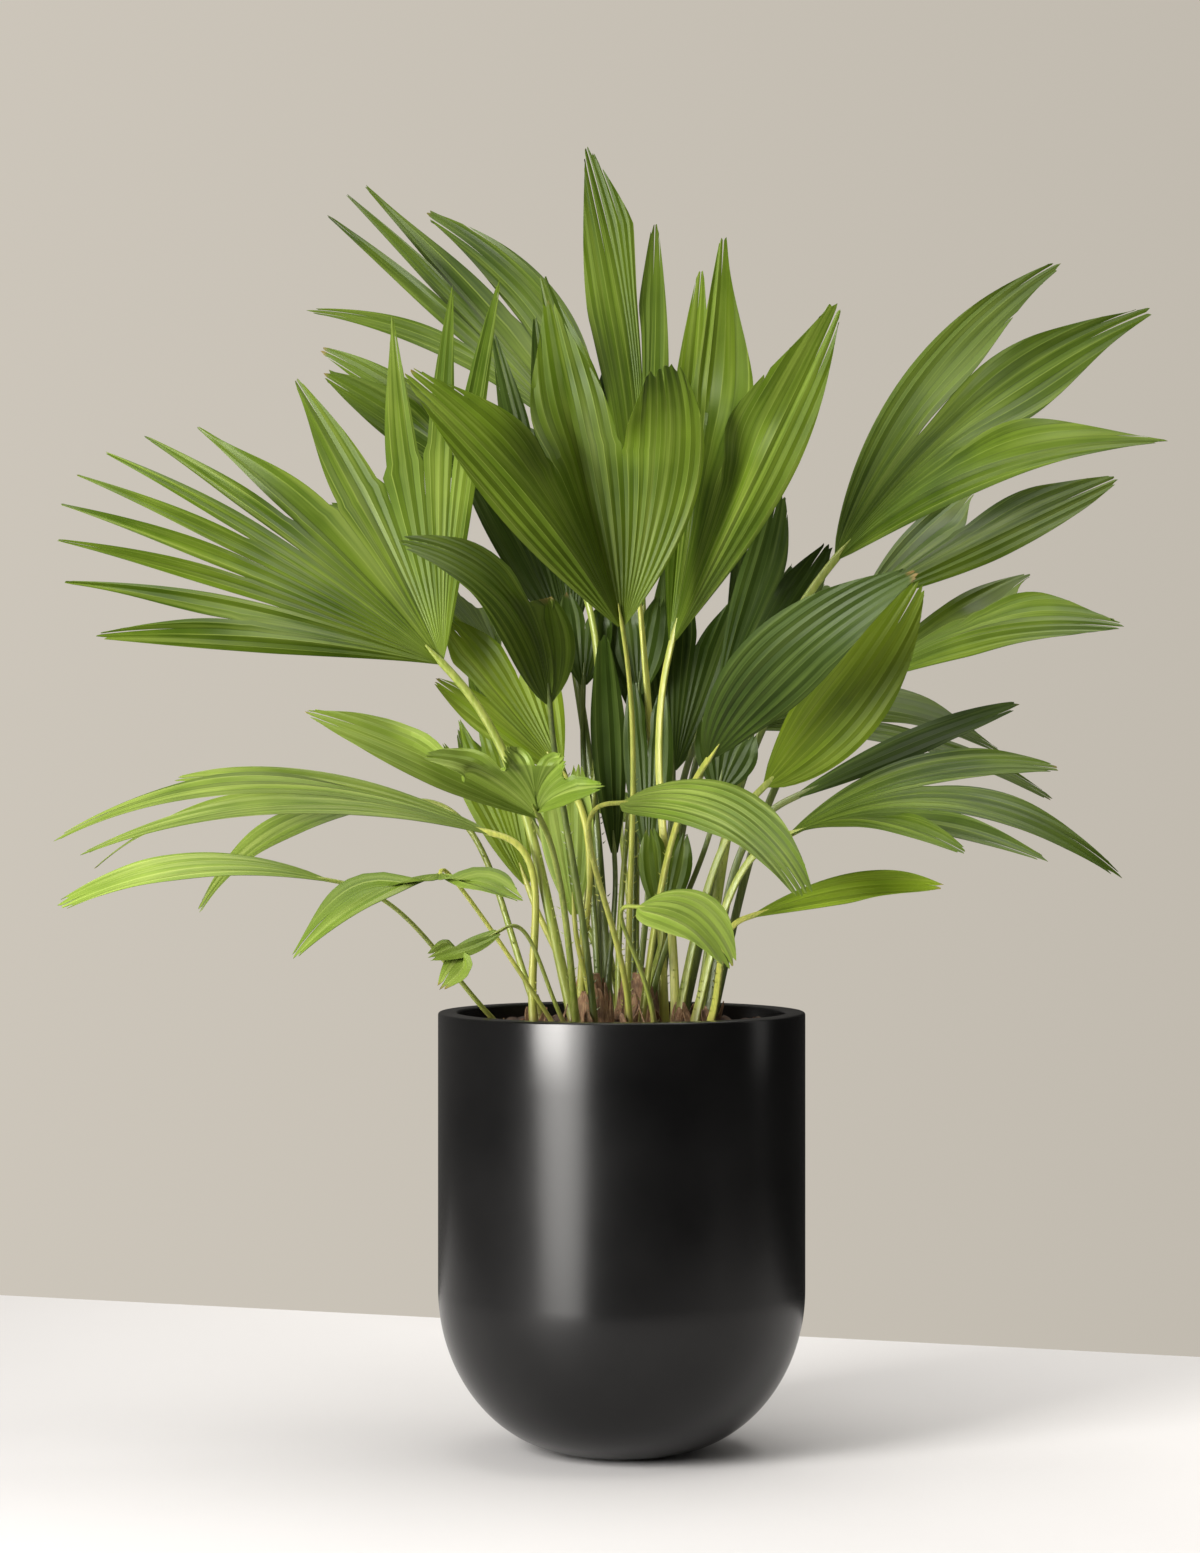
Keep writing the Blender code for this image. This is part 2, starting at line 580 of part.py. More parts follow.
def add_stalk(name, data, end, axis, parts):
    """The leaf stalk: upright from the soil, then a curve that runs into the blade along its axis."""
    foot = np.array([0.01 * data["foot"][0], 0.01 * data["foot"][1], SOIL_TOP + GAP])
    root = foot + np.array([0, 0, STALK_UPRIGHT])
    neck = end - axis * STALK_LAST
    span = np.linalg.norm(neck - root)
    up = np.array([0, 0, data["upright"]])
    aim = unit((1 - data["upright"]) * unit(neck - root) + up)
    path = (root, root + aim * span * STALK_HANDLES[0], neck - axis * span * STALK_HANDLES[1], neck)
    inner = [bezier(path, i / (STALK_POINTS - 1)) for i in range(STALK_POINTS)]
    route = [foot, *inner, end]
    curve = bpy.data.curves.new(name, "CURVE")
    curve.dimensions = "3D"
    curve.bevel_depth = 0.01
    curve.bevel_resolution = 1
    curve.use_fill_caps = True
    spline = curve.splines.new("POLY")
    spline.points.add(len(route) - 1)
    at_foot, at_hub = data["stalk"]
    for i, (point, place) in enumerate(zip(spline.points, route)):
        s = i / (len(route) - 1)
        point.co = (*place, 1)
        point.radius = at_foot + (at_hub - at_foot) * s
    return add(name, curve, STALK_COLOUR, 0.5, parts)


def welded_copy(thing):
    """A closed mesh of this curve or mesh as it is evaluated, its caps welded on."""
    graph = bpy.context.evaluated_depsgraph_get()
    mesh = bpy.data.meshes.new_from_object(thing.evaluated_get(graph))
    shape = bmesh.new()
    shape.from_mesh(mesh)
    bmesh.ops.remove_doubles(shape, verts=shape.verts, dist=0.00001)
    bmesh.ops.recalc_face_normals(shape, faces=shape.faces)
    shape.to_mesh(mesh)
    shape.free()
    return mesh


def join(name, sheath, things, colour, parts):
    """One body of these blades and stalks and the sheath that they grow from."""
    (across, depth), radius = sheath
    shape = bmesh.new()
    bmesh.ops.create_cone(
        shape, cap_ends=True, segments=12, radius1=0.01 * radius, radius2=0.01 * radius * SHEATH_TAPER,
        depth=SHEATH_HEIGHT,
    )
    middle = SOIL_TOP + GAP + SHEATH_HEIGHT / 2
    bmesh.ops.translate(shape, verts=shape.verts, vec=(0.01 * across, 0.01 * depth, middle))
    mesh = bpy.data.meshes.new(name)
    shape.to_mesh(mesh)
    shape.free()
    body = add(name, mesh, colour, 0.5, parts)
    cutters = bpy.data.collections.new("joined_into_" + name)
    bpy.context.scene.collection.children.link(cutters)
    for thing in things:
        solid = bpy.data.objects.new(thing.name + "_solid", welded_copy(thing))
        solid.matrix_world = thing.matrix_world
        cutters.objects.link(solid)
        bpy.data.objects.remove(thing, do_unlink=True)
    union = body.modifiers.new("join", "BOOLEAN")
    union.operation = "UNION"
    union.operand_type = "COLLECTION"
    union.collection = cutters
    union.solver = "EXACT"
    joined = welded_copy(body)
    body.modifiers.remove(union)
    joined.materials.clear()
    joined.materials.append(mesh.materials[0])
    body.data = joined
    for solid in list(cutters.objects):
        bpy.data.objects.remove(solid, do_unlink=True)
    bpy.data.collections.remove(cutters)


def add_group(name, sheath, fronds, parts):
    """The leaves of a group, each stalk running into its blade, joined with their sheath."""
    things = []
    for number, data in enumerate(fronds, 1):
        blade, _, axis = add_blade(f"{name}_blade_{number}", data, parts)
        end = seen(data["hub"]) + axis * STALK_SUNK
        stalk = add_stalk(f"{name}_stalk_{number}", data, end, axis, parts)
        things += [blade, stalk]
    join(name, sheath, things, LEAF_TONES["mid"], parts)


def main():
    for thing in list(bpy.data.objects):
        bpy.data.objects.remove(thing, do_unlink=True)
    parts = bpy.data.collections.new("chinese_fan_palm")
    bpy.context.scene.collection.children.link(parts)
    add_pot(parts)
    add_soil(parts)
    back_stalks = []
    for number, data in enumerate(FRONDS + BACK_FRONDS, 1):
        _, end, axis = add_blade(f"frond_{number:02d}", data, parts)
        stalk = add_stalk(f"stalk_{number:02d}", data, end, axis, parts)
        if number > len(FRONDS):
            back_stalks.append(stalk)
    join("stalks_back", BACK_SHEATH, back_stalks, STALK_COLOUR, parts)
    for name, (place, radius, fronds) in GROUPS.items():
        add_group(name, (place, radius), fronds, parts)


main()
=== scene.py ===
import math
import random

import bmesh
import bpy
import numpy as np
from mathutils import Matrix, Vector


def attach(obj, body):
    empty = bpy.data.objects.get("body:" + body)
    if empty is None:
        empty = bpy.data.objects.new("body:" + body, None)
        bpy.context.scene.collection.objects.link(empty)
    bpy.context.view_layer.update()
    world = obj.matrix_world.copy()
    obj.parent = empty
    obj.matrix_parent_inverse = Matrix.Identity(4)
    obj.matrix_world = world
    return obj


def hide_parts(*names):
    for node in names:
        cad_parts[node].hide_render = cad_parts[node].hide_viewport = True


# A chinese fan palm in a satin black planter, standing on z = 0 with its front to -Y. Metres, +Z up.
# The leaves and stalks follow the same table and the same rule as the solids, carried to finer folds.

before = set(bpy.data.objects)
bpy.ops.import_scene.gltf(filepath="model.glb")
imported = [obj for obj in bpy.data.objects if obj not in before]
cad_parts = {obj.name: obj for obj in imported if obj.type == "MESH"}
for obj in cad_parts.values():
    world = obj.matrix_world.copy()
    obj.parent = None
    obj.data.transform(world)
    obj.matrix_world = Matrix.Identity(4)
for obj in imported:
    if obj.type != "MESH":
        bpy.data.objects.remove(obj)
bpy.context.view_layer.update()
print("frame loaded:", len(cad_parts), "solids")


# helpers for every node tree

def addNode(tree, kind, inputs=None, **settings):
    made = tree.nodes.new(kind)
    for key, value in settings.items():
        setattr(made, key, value)
    for key, value in (inputs or {}).items():
        if isinstance(value, bpy.types.NodeSocket):
            tree.links.new(value, made.inputs[key])
        else:
            made.inputs[key].default_value = value
    return made


def maths(tree, operation, a, b=0.0, c=0.0):
    return addNode(tree, "ShaderNodeMath", {0: a, 1: b, 2: c}, operation=operation).outputs[0]


def times(tree, a, b):
    return maths(tree, "MULTIPLY", a, b)


def vectorMaths(tree, operation, a, b=(0.0, 0.0, 0.0)):
    made = addNode(tree, "ShaderNodeVectorMath", {0: a, 1: b}, operation=operation)
    return made.outputs["Value" if operation == "DOT_PRODUCT" else "Vector"]


def scaled(tree, vector, by):
    return addNode(tree, "ShaderNodeVectorMath", {0: vector, 3: by}, operation="SCALE").outputs["Vector"]


def parted(tree, vector):
    return addNode(tree, "ShaderNodeSeparateXYZ", {0: vector}).outputs


def combined(tree, x, y, z=0.0):
    return addNode(tree, "ShaderNodeCombineXYZ", {0: x, 1: y, 2: z}).outputs[0]


def ramped(tree, value, low, high, atLow=0.0, atHigh=1.0, smooth=False):
    inputs = {0: value, 1: low, 2: high, 3: atLow, 4: atHigh}
    kind = "SMOOTHSTEP" if smooth else "LINEAR"
    return addNode(tree, "ShaderNodeMapRange", inputs, interpolation_type=kind).outputs[0]


# helpers for finishes

def mixed(tree, share, a, b, how="MIX"):
    return addNode(tree, "ShaderNodeMix", {0: share, 6: a, 7: b}, data_type="RGBA", blend_type=how).outputs[2]


def colourOf(tree, red, green, blue):
    return addNode(tree, "ShaderNodeCombineColor", {0: red, 1: green, 2: blue}).outputs[0]


def noise(tree, where, scale, detail=3.0, roughness=0.55):
    inputs = {"Vector": where, "Scale": scale, "Detail": detail, "Roughness": roughness}
    return addNode(tree, "ShaderNodeTexNoise", inputs).outputs["Fac"]


def fibrous(tree, place, across, upward):
    # streaks drawn out along Z
    drawn = addNode(tree, "ShaderNodeMapping", {"Vector": place, "Scale": (across, across, upward)})
    return noise(tree, drawn.outputs[0], 1.0)


def perStep(tree, value, shift=0.0):
    # a steady random number for each whole step of the value
    step = maths(tree, "ADD", maths(tree, "FLOOR", value), shift)
    return addNode(tree, "ShaderNodeTexWhiteNoise", {"W": step}, noise_dimensions="1D").outputs["Value"]


def ownPlace(tree):
    return addNode(tree, "ShaderNodeTexCoord").outputs["Object"]


def rgba(colour, by=1.0):
    return (*[min(1.0, by * c) for c in colour], 1.0)


def newFinish(name, colour, roughness):
    material = bpy.data.materials.new(name)
    material.use_nodes = True
    material.diffuse_color = rgba(colour)
    shader = material.node_tree.nodes["Principled BSDF"]
    shader.inputs["Base Color"].default_value = rgba(colour)
    shader.inputs["Roughness"].default_value = roughness
    return material, material.node_tree, shader


def coat(tree, shader, colour, roughness, relief, strength, depth):
    tree.links.new(colour, shader.inputs["Base Color"])
    tree.links.new(roughness, shader.inputs["Roughness"])
    bump = addNode(tree, "ShaderNodeBump", {"Strength": strength, "Distance": depth, "Height": relief})
    tree.links.new(bump.outputs[0], shader.inputs["Normal"])


# helpers for shapes that a node tree grows

def newTree(name, sizes):
    # a tree with these named inputs and a finish: gives back its inputs' sockets by name, and its output's
    tree = bpy.data.node_groups.new(name, "GeometryNodeTree")
    sockets = tree.interface
    sockets.new_socket("Geometry", in_out="INPUT", socket_type="NodeSocketGeometry")
    for label, value in sizes.items():
        kind = "NodeSocketInt" if isinstance(value, int) else "NodeSocketFloat"
        sockets.new_socket(label, in_out="INPUT", socket_type=kind).default_value = value
    sockets.new_socket("Finish", in_out="INPUT", socket_type="NodeSocketMaterial")
    sockets.new_socket("Geometry", in_out="OUTPUT", socket_type="NodeSocketGeometry")
    start = tree.nodes.new("NodeGroupInput")
    end = tree.nodes.new("NodeGroupOutput")
    return tree, {s.name: s for s in start.outputs if s.name}, end.inputs[0]


def closeTree(tree, shape, given, result):
    real = geo(tree, "RealizeInstances", {"Geometry": shape})
    tree.links.new(geo(tree, "SetMaterial", {"Geometry": real, "Material": given["Finish"]}), result)
    return tree


def geo(tree, kind, inputs=None, out=0, **settings):
    return addNode(tree, "GeometryNode" + kind, inputs, **settings).outputs[out]


def stored(tree, name, kind):
    return geo(tree, "InputNamedAttribute", {"Name": name}, "Attribute", data_type=kind)


def rolled(tree, low, high, seed, kind="FLOAT"):
    # a random value for each point
    made = addNode(tree, "FunctionNodeRandomValue", {"Min": low, "Max": high, "Seed": seed}, data_type=kind)
    return made.outputs[1 if kind == "FLOAT" else 0]


def over(tree, a, b):
    return addNode(tree, "FunctionNodeCompare", {0: a, 1: b}, operation="GREATER_THAN").outputs[0]


def joined(tree, *shapes):
    made = addNode(tree, "GeometryNodeJoinGeometry")
    for shape in shapes:
        tree.links.new(shape, made.inputs[0])
    return made.outputs[0]


def thickened(tree, sheet, thickness):
    # the sheet drawn out to its thickness, with its other side closed and the rims welded
    inputs = {"Mesh": sheet, "Offset Scale": thickness, "Individual": False}
    drawn = geo(tree, "ExtrudeMesh", inputs, mode="FACES")
    both = joined(tree, drawn, geo(tree, "FlipFaces", {"Mesh": sheet}))
    welded = geo(tree, "MergeByDistance", {"Geometry": both, "Distance": 0.000002})
    return smoothShaded(tree, welded)


def smoothShaded(tree, shape):
    return geo(tree, "SetShadeSmooth", {"Geometry": shape, "Shade Smooth": True})


def grown(thing, tree, sizes, name):
    # runs the tree on this object and gives back one plain mesh object in its place
    modifier = thing.modifiers.new(tree.name, "NODES")
    modifier.node_group = tree
    for item in tree.interface.items_tree:
        if item.in_out == "INPUT" and item.name in sizes:
            modifier[item.identifier] = sizes[item.name]
    bpy.context.view_layer.update()
    mesh = bpy.data.meshes.new_from_object(thing.evaluated_get(bpy.context.evaluated_depsgraph_get()))
    bpy.data.objects.remove(thing, do_unlink=True)
    mesh.name = name
    return shown(name, mesh)


def shown(name, data):
    thing = bpy.data.objects.new(name, data)
    bpy.context.scene.collection.objects.link(thing)
    return thing


def triangles(piece):
    return len(piece.data.loops) - 2 * len(piece.data.polygons)


def settle(thing, slot, *nodes):
    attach(thing, "root")
    if nodes:
        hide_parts(*nodes)
    return thing


# the plant's table: centimetres, read in the upright plane through the pot's axis as seen from eyePlace,
# with every point then moved along its line of sight to its own depth

eyePlace = np.array([-0.021, -3.70, 0.654])


def lobe(tip, half, arch=0.0, bend=0.0, widest=0.5, blunt=0.2, notch=0.05):
    return dict(tip=tip, half=half, arch=arch, bend=bend, widest=widest, blunt=blunt, notch=notch)


def fan(first, middle, last, count, half, arch=0.0, bend=0.0, blunt=0.12, widest=0.45):
    # even fingers whose tips lie on the curve from first through middle to last
    ends = [np.array(p, float) for p in (first, middle, last)]
    pull = 2 * ends[1] - 0.5 * (ends[0] + ends[2])
    fingers = []
    for i in range(count):
        s = i / (count - 1)
        tip = (1 - s) ** 2 * ends[0] + 2 * s * (1 - s) * pull + s * s * ends[2]
        fingers.append(lobe(tuple(tip), half, arch, bend, widest, blunt))
    return fingers


def frond(foot, hub, face, lobes, split=0.45, stalk=(0.45, 0.33), upright=0.45):
    return dict(foot=foot, hub=hub, face=face, lobes=lobes, split=split, stalk=stalk, upright=upright)


fronds = [
    # Centre front, upright, its under face to the front
    frond((0.5, -5), (0, -11, 80), (0, -1, 0.15), [
        lobe((-21, -25, 105), 3.5, arch=0.06, bend=0.04),
        lobe((-7.2, -14, 112), 3.0, bend=-0.01),
        lobe((3.6, -22, 105.5), 3.5, arch=-0.12, bend=0.06, blunt=0.45, widest=0.58),
    ], split=0.5),
    # Right of the centre, upright
    frond((5.2, -0.5), (4.9, -3, 78.6), (0.2, -1, 0.1), [
        lobe((8, 2, 115), 1.7),
        lobe((10, -5, 118.5), 1.8, bend=0.02),
        lobe((20.9, -18, 111.7), 3.2, arch=0.06, bend=-0.01, widest=0.55),
    ], split=0.4),
    # The tallest, behind them
    frond((4.2, 3), (1.8, 3, 82), (0, -1, 0.15), [
        lobe((-7.6, 6, 114.6), 1.7),
        lobe((-3.6, 9, 127), 3.6, arch=-0.05, bend=0.045, widest=0.58, blunt=0.12),
        lobe((3.0, 12, 119.5), 1.8),
    ], split=0.45),
    # The wide fan on the left, of many narrow fingers
    frond((-4.6, -7), (-17.5, -8, 76.5), (0.1, -1, 0.25), [
        lobe((-51.4, -26, 79.2), 1.5, arch=0.05, bend=0.02, widest=0.55),
        *fan((-54.6, -23, 84.5), (-53.5, -15, 95), (-41.6, -5, 99.6), 7, 1.0, arch=0.03, bend=0.025),
        lobe((-31.9, -2, 104.2), 1.8, bend=0.02),
        *fan((-22.4, 0, 110.3), (-16.5, 1, 113.4), (-11.9, 1, 114), 3, 1.3, bend=-0.02),
    ], split=0.42, stalk=(0.6, 0.4), upright=0.3),
    # Dark and folded, arching to the left
    frond((-2.7, -9), (-7.0, -17, 72.5), (0.2, -0.8, 0.6), [
        lobe((-21.9, -31, 88.3), 3.7, arch=0.13, bend=0.09, widest=0.45),
        lobe((-7.4, -21, 82.6), 1.9, arch=0.04, bend=0.04),
    ], split=0.6),
    # Dark fan behind the centre
    frond((-1.2, 5.4), (-5.0, 7, 78.5), (0, -1, 0.1), [
        *fan((-17, 9, 100), (-12.5, 11, 109), (-8.6, 10, 110.6), 3, 1.7),
        lobe((-1.5, 10, 106), 1.8),
    ], split=0.45, stalk=(0.75, 0.45)),
    # High on the right, three long fingers
    frond((7.6, 1), (20.9, 0, 86.7), (-0.1, -1, 0.35), [
        lobe((43.2, 14, 115.3), 2.3, arch=0.05, bend=-0.07, widest=0.45),
        lobe((51.9, -4, 110.8), 2.6, arch=0.05, bend=-0.06, widest=0.55),
        lobe((53.2, -22, 98.1), 2.3, arch=0.1, bend=-0.06, widest=0.45, blunt=0.1),
    ], split=0.34, stalk=(0.55, 0.4)),
    # Behind and under it
    frond((6.2, 5), (23.6, 8, 82.6), (-0.1, -1, 0.5), [
        lobe((34.4, 22, 93), 1.5, arch=0.05),
        lobe((48.3, 14, 94.6), 2.6, arch=0.05, bend=0.01),
    ], split=0.4),
    # Lower on the right, broad and dark
    frond((9, 4), (24, 6, 74.8), (0, -0.75, 0.7), [
        lobe((40, 16, 85), 1.5, arch=0.06),
        lobe((49, -4, 80), 3.2, arch=0.12, bend=-0.02, blunt=0.15),
    ], split=0.4),
    # Folded pair at the right front: the left one
    frond((1.8, -7.5), (8.5, -15, 67.2), (0.35, -0.9, 0.3), [
        lobe((29.1, -31, 85.5), 3.5, arch=0.07, bend=-0.075, widest=0.42, blunt=0.15),
    ], split=0.5),
    # and the right one
    frond((5.4, -4), (14.0, -8, 64.6), (0.1, -0.9, 0.3), [
        lobe((29.3, -20, 84.8), 3.6, arch=0.07, bend=0.05, widest=0.45, blunt=0.15),
    ], split=0.5),
    # Front, hanging to the right over the stalks
    frond((0.6, -9), (0.0, -22, 62.9), (0.1, -0.65, 0.75), [
        lobe((18.1, -36, 53.4), 3.5, arch=0.16, bend=-0.06, widest=0.36, blunt=0.25),
    ], split=0.5, stalk=(0.45, 0.3), upright=0.6),
    # Front, a flat fan over the left stalks
    frond((-4.4, -10.5), (-8.1, -23, 61.6), (-0.1, -0.85, 0.5), [
        lobe((-31.2, -34, 72), 2.4, arch=0.03, bend=0.02, blunt=0.12),
        lobe((-19.5, -34, 67.4), 1.9, arch=0.08, bend=0.05),
        lobe((-11.6, -31, 68.1), 2.0, arch=0.1, blunt=0.35),
        lobe((-5.2, -31, 67.2), 1.9, arch=0.12, bend=0.02, blunt=0.35),
        lobe((-1.4, -33, 64.2), 1.5, arch=0.1, bend=0.03),
    ], split=0.55),
    # Small and low at the front
    frond((2.9, -11), (1.7, -20, 52.8), (0.1, -0.8, 0.6), [
        lobe((10.8, -30, 46.6), 2.8, arch=0.14, bend=-0.07, blunt=0.2, widest=0.38),
    ], split=0.5, stalk=(0.35, 0.25), upright=0.55),
    # Right, one long level finger
    frond((8.3, -1.5), (17.2, -3, 63.6), (0, -0.7, 0.7), [
        lobe((38.8, -8, 72.5), 1.5, arch=0.03),
    ], split=0.5),
    # Right, lower
    frond((7, -5.5), (16.3, -10, 59.8), (0, -0.65, 0.75), [
        lobe((42.7, -12, 66), 2.5, arch=0.1, bend=-0.04),
        lobe((48.9, -21, 55.2), 2.0, arch=0.18, bend=-0.04),
        lobe((41.7, -31, 57.1), 1.5, arch=0.1),
        lobe((33.8, -33, 58.0), 1.9, arch=0.1),
    ], split=0.35),
    # Right, lowest
    frond((8.4, -8), (13.0, -15, 52.0), (0, -0.7, 0.7), [
        lobe((31.6, -27, 54.7), 1.8, arch=0.05, bend=-0.03, blunt=0.12),
    ], split=0.5, stalk=(0.4, 0.28), upright=0.05),
    # Left, low, long pale fingers
    frond((-8.4, -7.4), (-13, -9, 60), (0, -0.6, 0.8), [
        lobe((-53, -24, 57.7), 1.3, arch=0.1, bend=0.02),
        lobe((-55.5, -11, 58.9), 1.5, arch=0.14, bend=0.02),
        lobe((-43.8, 1, 65), 1.6, arch=0.06, bend=0.02),
    ], split=0.2),
    # Left, one blunt leaf on a thin stalk
    frond((-12, -8.5), (-28.7, -23, 55.4), (0, -0.5, 0.85), [
        lobe((-55.2, -34, 52.4), 1.9, arch=0.12, blunt=0.4),
    ], split=0.5, stalk=(0.25, 0.2), upright=0.1),
    # Left, hanging at the back
    frond((-8, 1), (-21.5, 5, 63), (0, -0.5, 0.85), [
        lobe((-41.3, 4, 51.8), 1.9, arch=0.18, blunt=0.25),
        lobe((-51.5, 16, 56), 1.1, arch=0.12),
    ], split=0.3, stalk=(0.35, 0.28), upright=0.25),
    # Left front, a small hanging pair
    frond((-6.5, -11.5), (-17.6, -20, 56), (0, -0.6, 0.8), [
        lobe((-32.4, -30, 47.3), 1.5, arch=0.12, bend=0.02),
        lobe((-9.3, -27, 53.3), 1.4, arch=0.05),
    ], split=0.25, stalk=(0.25, 0.2), upright=0.1),
    # Left front, the smallest
    frond((-5.4, -12.8), (-12, -18, 50.3), (-0.1, -0.9, 0.4), [
        lobe((-19.2, -23, 47.8), 1.2, arch=0.05),
        lobe((-17.7, -24, 44.4), 1.5, arch=0.05),
    ], split=0.45, stalk=(0.25, 0.2), upright=0.1),
    # Left of the centre, striped, behind the wide fan
    frond((-3.6, 3), (-9.8, 5, 92), (0, -1, 0.2), [
        lobe((-29, 4, 104.8), 2.3, bend=0.02),
        lobe((-29.7, 12, 106.9), 1.7, bend=0.05),
    ], split=0.3),
]

# These grow from one sheath at the back.
backFronds = [
    # Upper left, narrow fingers over a broad one
    frond((-0.2, 9.2), (-3.0, 15, 97), (0, -1, 0.25), [
        lobe((-30.8, 20, 110.8), 1.2, arch=-0.05, bend=0.12),
        *fan((-28.9, 24, 120.3), (-27.2, 26, 122.4), (-25.4, 28, 123.2), 3, 1.0, arch=-0.06, bend=0.03),
        lobe((-19.6, 30, 120.2), 2.3, arch=-0.06, bend=0.13),
    ], split=0.35),
    # Right, inside, two dark leaves
    frond((3.7, 8.7), (9.7, 6, 73.8), (0, -1, 0.1), [
        lobe((15.7, 9, 93.3), 2.1, bend=0.03),
        lobe((20.1, 5, 88.3), 2.2, bend=0.02),
    ], split=0.5),
    # Right of the centre, inside, dark and upright
    frond((2.8, 8.2), (5.0, 8, 66), (0, -1, 0.1), [
        lobe((-1.5, 8, 85), 2.2),
        lobe((5, 8.5, 88), 2.4),
        lobe((11, 9.5, 83), 2.2),
    ], split=0.6),
    # Straight back, upright
    frond((1.6, 10), (1, 20, 86), (0, -0.5, 0.85), [
        lobe((-14, 33, 101), 2.6, arch=0.08),
        lobe((-6, 40, 104), 2.6, arch=0.1),
        lobe((3, 42, 104), 2.6, arch=0.1),
        lobe((11, 36, 97), 2.6, arch=0.08),
    ], split=0.5),
    # Back right, a full fan that reaches round to the side
    frond((3.3, 10.8), (12, 18, 70), (0.1, -0.5, 0.85), [
        lobe((10, 47, 80), 2.5, arch=0.1),
        lobe((20, 44, 84), 2.5, arch=0.12),
        lobe((30, 33, 80), 2.4, arch=0.12),
        lobe((37, 14, 67.6), 2.2, arch=0.14),
        lobe((42, 7, 63), 1.8, arch=0.1),
    ], split=0.4),
    # Back left
    frond((0, 10.9), (-12, 18, 77), (-0.4, -0.4, 0.8), [
        lobe((-31, 18, 90), 2.4, arch=0.1),
        lobe((-29, 32, 92), 2.4, arch=0.12),
        lobe((-22, 43, 88), 2.4, arch=0.12),
        lobe((-13, 46, 80), 2.3, arch=0.12),
    ], split=0.45),
    # Straight back, low
    frond((1.8, 12), (0, 17, 61), (0, -0.2, 1), [
        lobe((-13, 33, 62), 2.2, arch=0.14),
        lobe((0, 39, 61), 2.4, arch=0.14),
        lobe((13, 34, 61), 2.2, arch=0.14),
    ], split=0.45),
    # Right side, inside, upright and turned to the right
    frond((3.9, 9.6), (10, 12, 76), (1, -0.1, 0.25), [
        lobe((12.3, 17, 96.5), 2.2),
        lobe((14.6, 27, 94), 2.3, arch=0.04),
        lobe((16.5, 34, 86), 2.3, arch=0.06),
    ], split=0.45),
    # Left side, inside, turned to the left
    frond((-0.6, 9.6), (-8, 12, 60), (-1, -0.2, 0.35), [
        lobe((-12.3, 12, 80), 2.0),
        lobe((-15, 20, 78), 2.1, arch=0.05),
        lobe((-16, 27, 70), 2.0, arch=0.08),
    ], split=0.45),
]

# Groups of smaller leaves. The leaves of a group grow from one sheath and are one body with it. A group holds
# the sheath's place on the soil, its radius there, and its leaves.
groupedFronds = {
    "fronds_inner_left": ((-3.0, -0.4), 2.1, [
        # Broad and pale, behind the front fan
        frond((-3.9, -1.4), (-6, -3, 66), (0, -1, 0.2), [
            lobe((-18.3, -3, 75.2), 1.6, bend=0.01),
            lobe((-17.3, -1, 81), 2.7, bend=0.01, widest=0.55),
            lobe((-9.2, -1, 80.5), 1.8, bend=-0.02),
        ], split=0.55),
        # Low and pale, cut into short teeth
        frond((-4.2, 0.7), (-9.2, 1, 55), (0, -1, 0.2), [
            *fan((-17.2, 4, 69), (-15, 5, 71.8), (-12.2, 5, 71.4), 4, 1.0, blunt=0.1),
        ], split=0.72, stalk=(0.35, 0.28)),
        # Dark, under the centre leaf
        frond((-2.2, 0.9), (-3.7, 4, 74.3), (0.1, -1, 0.1), [
            lobe((-5.2, 5, 83.4), 1.5),
            lobe((-1.9, 5, 82.4), 1.4),
        ], split=0.6, stalk=(0.35, 0.28)),
        # Long and dark between the stalks
        frond((-1.6, 0.0), (-0.7, 1.2, 58), (0.2, -1, 0.05), [
            lobe((-1.8, 2.6, 79.5), 1.4),
        ], split=0.5, stalk=(0.35, 0.28)),
        # Low and pale between the stalks
        frond((-2.8, -1.6), (-4.6, -3, 52), (0, -1, 0.1), [
            lobe((-7.2, -3, 66), 1.5),
            lobe((-4.4, -3, 67), 1.4),
        ], split=0.6, stalk=(0.3, 0.25)),
    ]),
    "fronds_inner_right": ((1.7, 1.0), 1.5, [
        # Dark, under the leaf right of the centre
        frond((1.1, 1.7), (1.7, 5, 73.4), (0, -1, 0.1), [
            lobe((0.4, 6, 83), 1.5),
            lobe((3.6, 6, 83.2), 1.5),
        ], split=0.6, stalk=(0.35, 0.28)),
        # Long and dark between the stalks
        frond((1.5, 0.8), (2.6, 0.6, 57.5), (0, -1, 0.05), [
            lobe((1.2, 1, 75), 1.3),
            lobe((3.8, 0.8, 74), 1.4),
        ], split=0.55, stalk=(0.35, 0.28)),
        # Under the folded pair
        frond((2.6, 1.2), (9.4, -0.8, 63.9), (0, -1, 0.2), [
            lobe((8.2, -1, 71.4), 1.3),
            lobe((12.7, -1.6, 70), 1.6),
        ], split=0.55, stalk=(0.3, 0.25)),
        # Low, between the stalks
        frond((2.0, -0.1), (4.0, -2.6, 51.8), (0, -1, 0.1), [
            lobe((2.9, -2.8, 60.8), 1.4),
            lobe((5.9, -2.8, 60.4), 1.4),
        ], split=0.6, stalk=(0.3, 0.25)),
    ]),
}


allFronds = fronds + backFronds + [leaf for _, _, leaves in groupedFronds.values() for leaf in leaves]


def solidOf(kind, number):
    # the solid that this leaf, or its stalk, stands for: its own, the back stalks' or its group's
    if number <= len(fronds) or (kind == "frond" and number <= len(fronds + backFronds)):
        return f"{kind}_{number:02d}"
    last = len(fronds + backFronds)
    if number <= last:
        return "stalks_back"
    for name, (_, _, leaves) in groupedFronds.items():
        last += len(leaves)
        if number <= last:
            return name


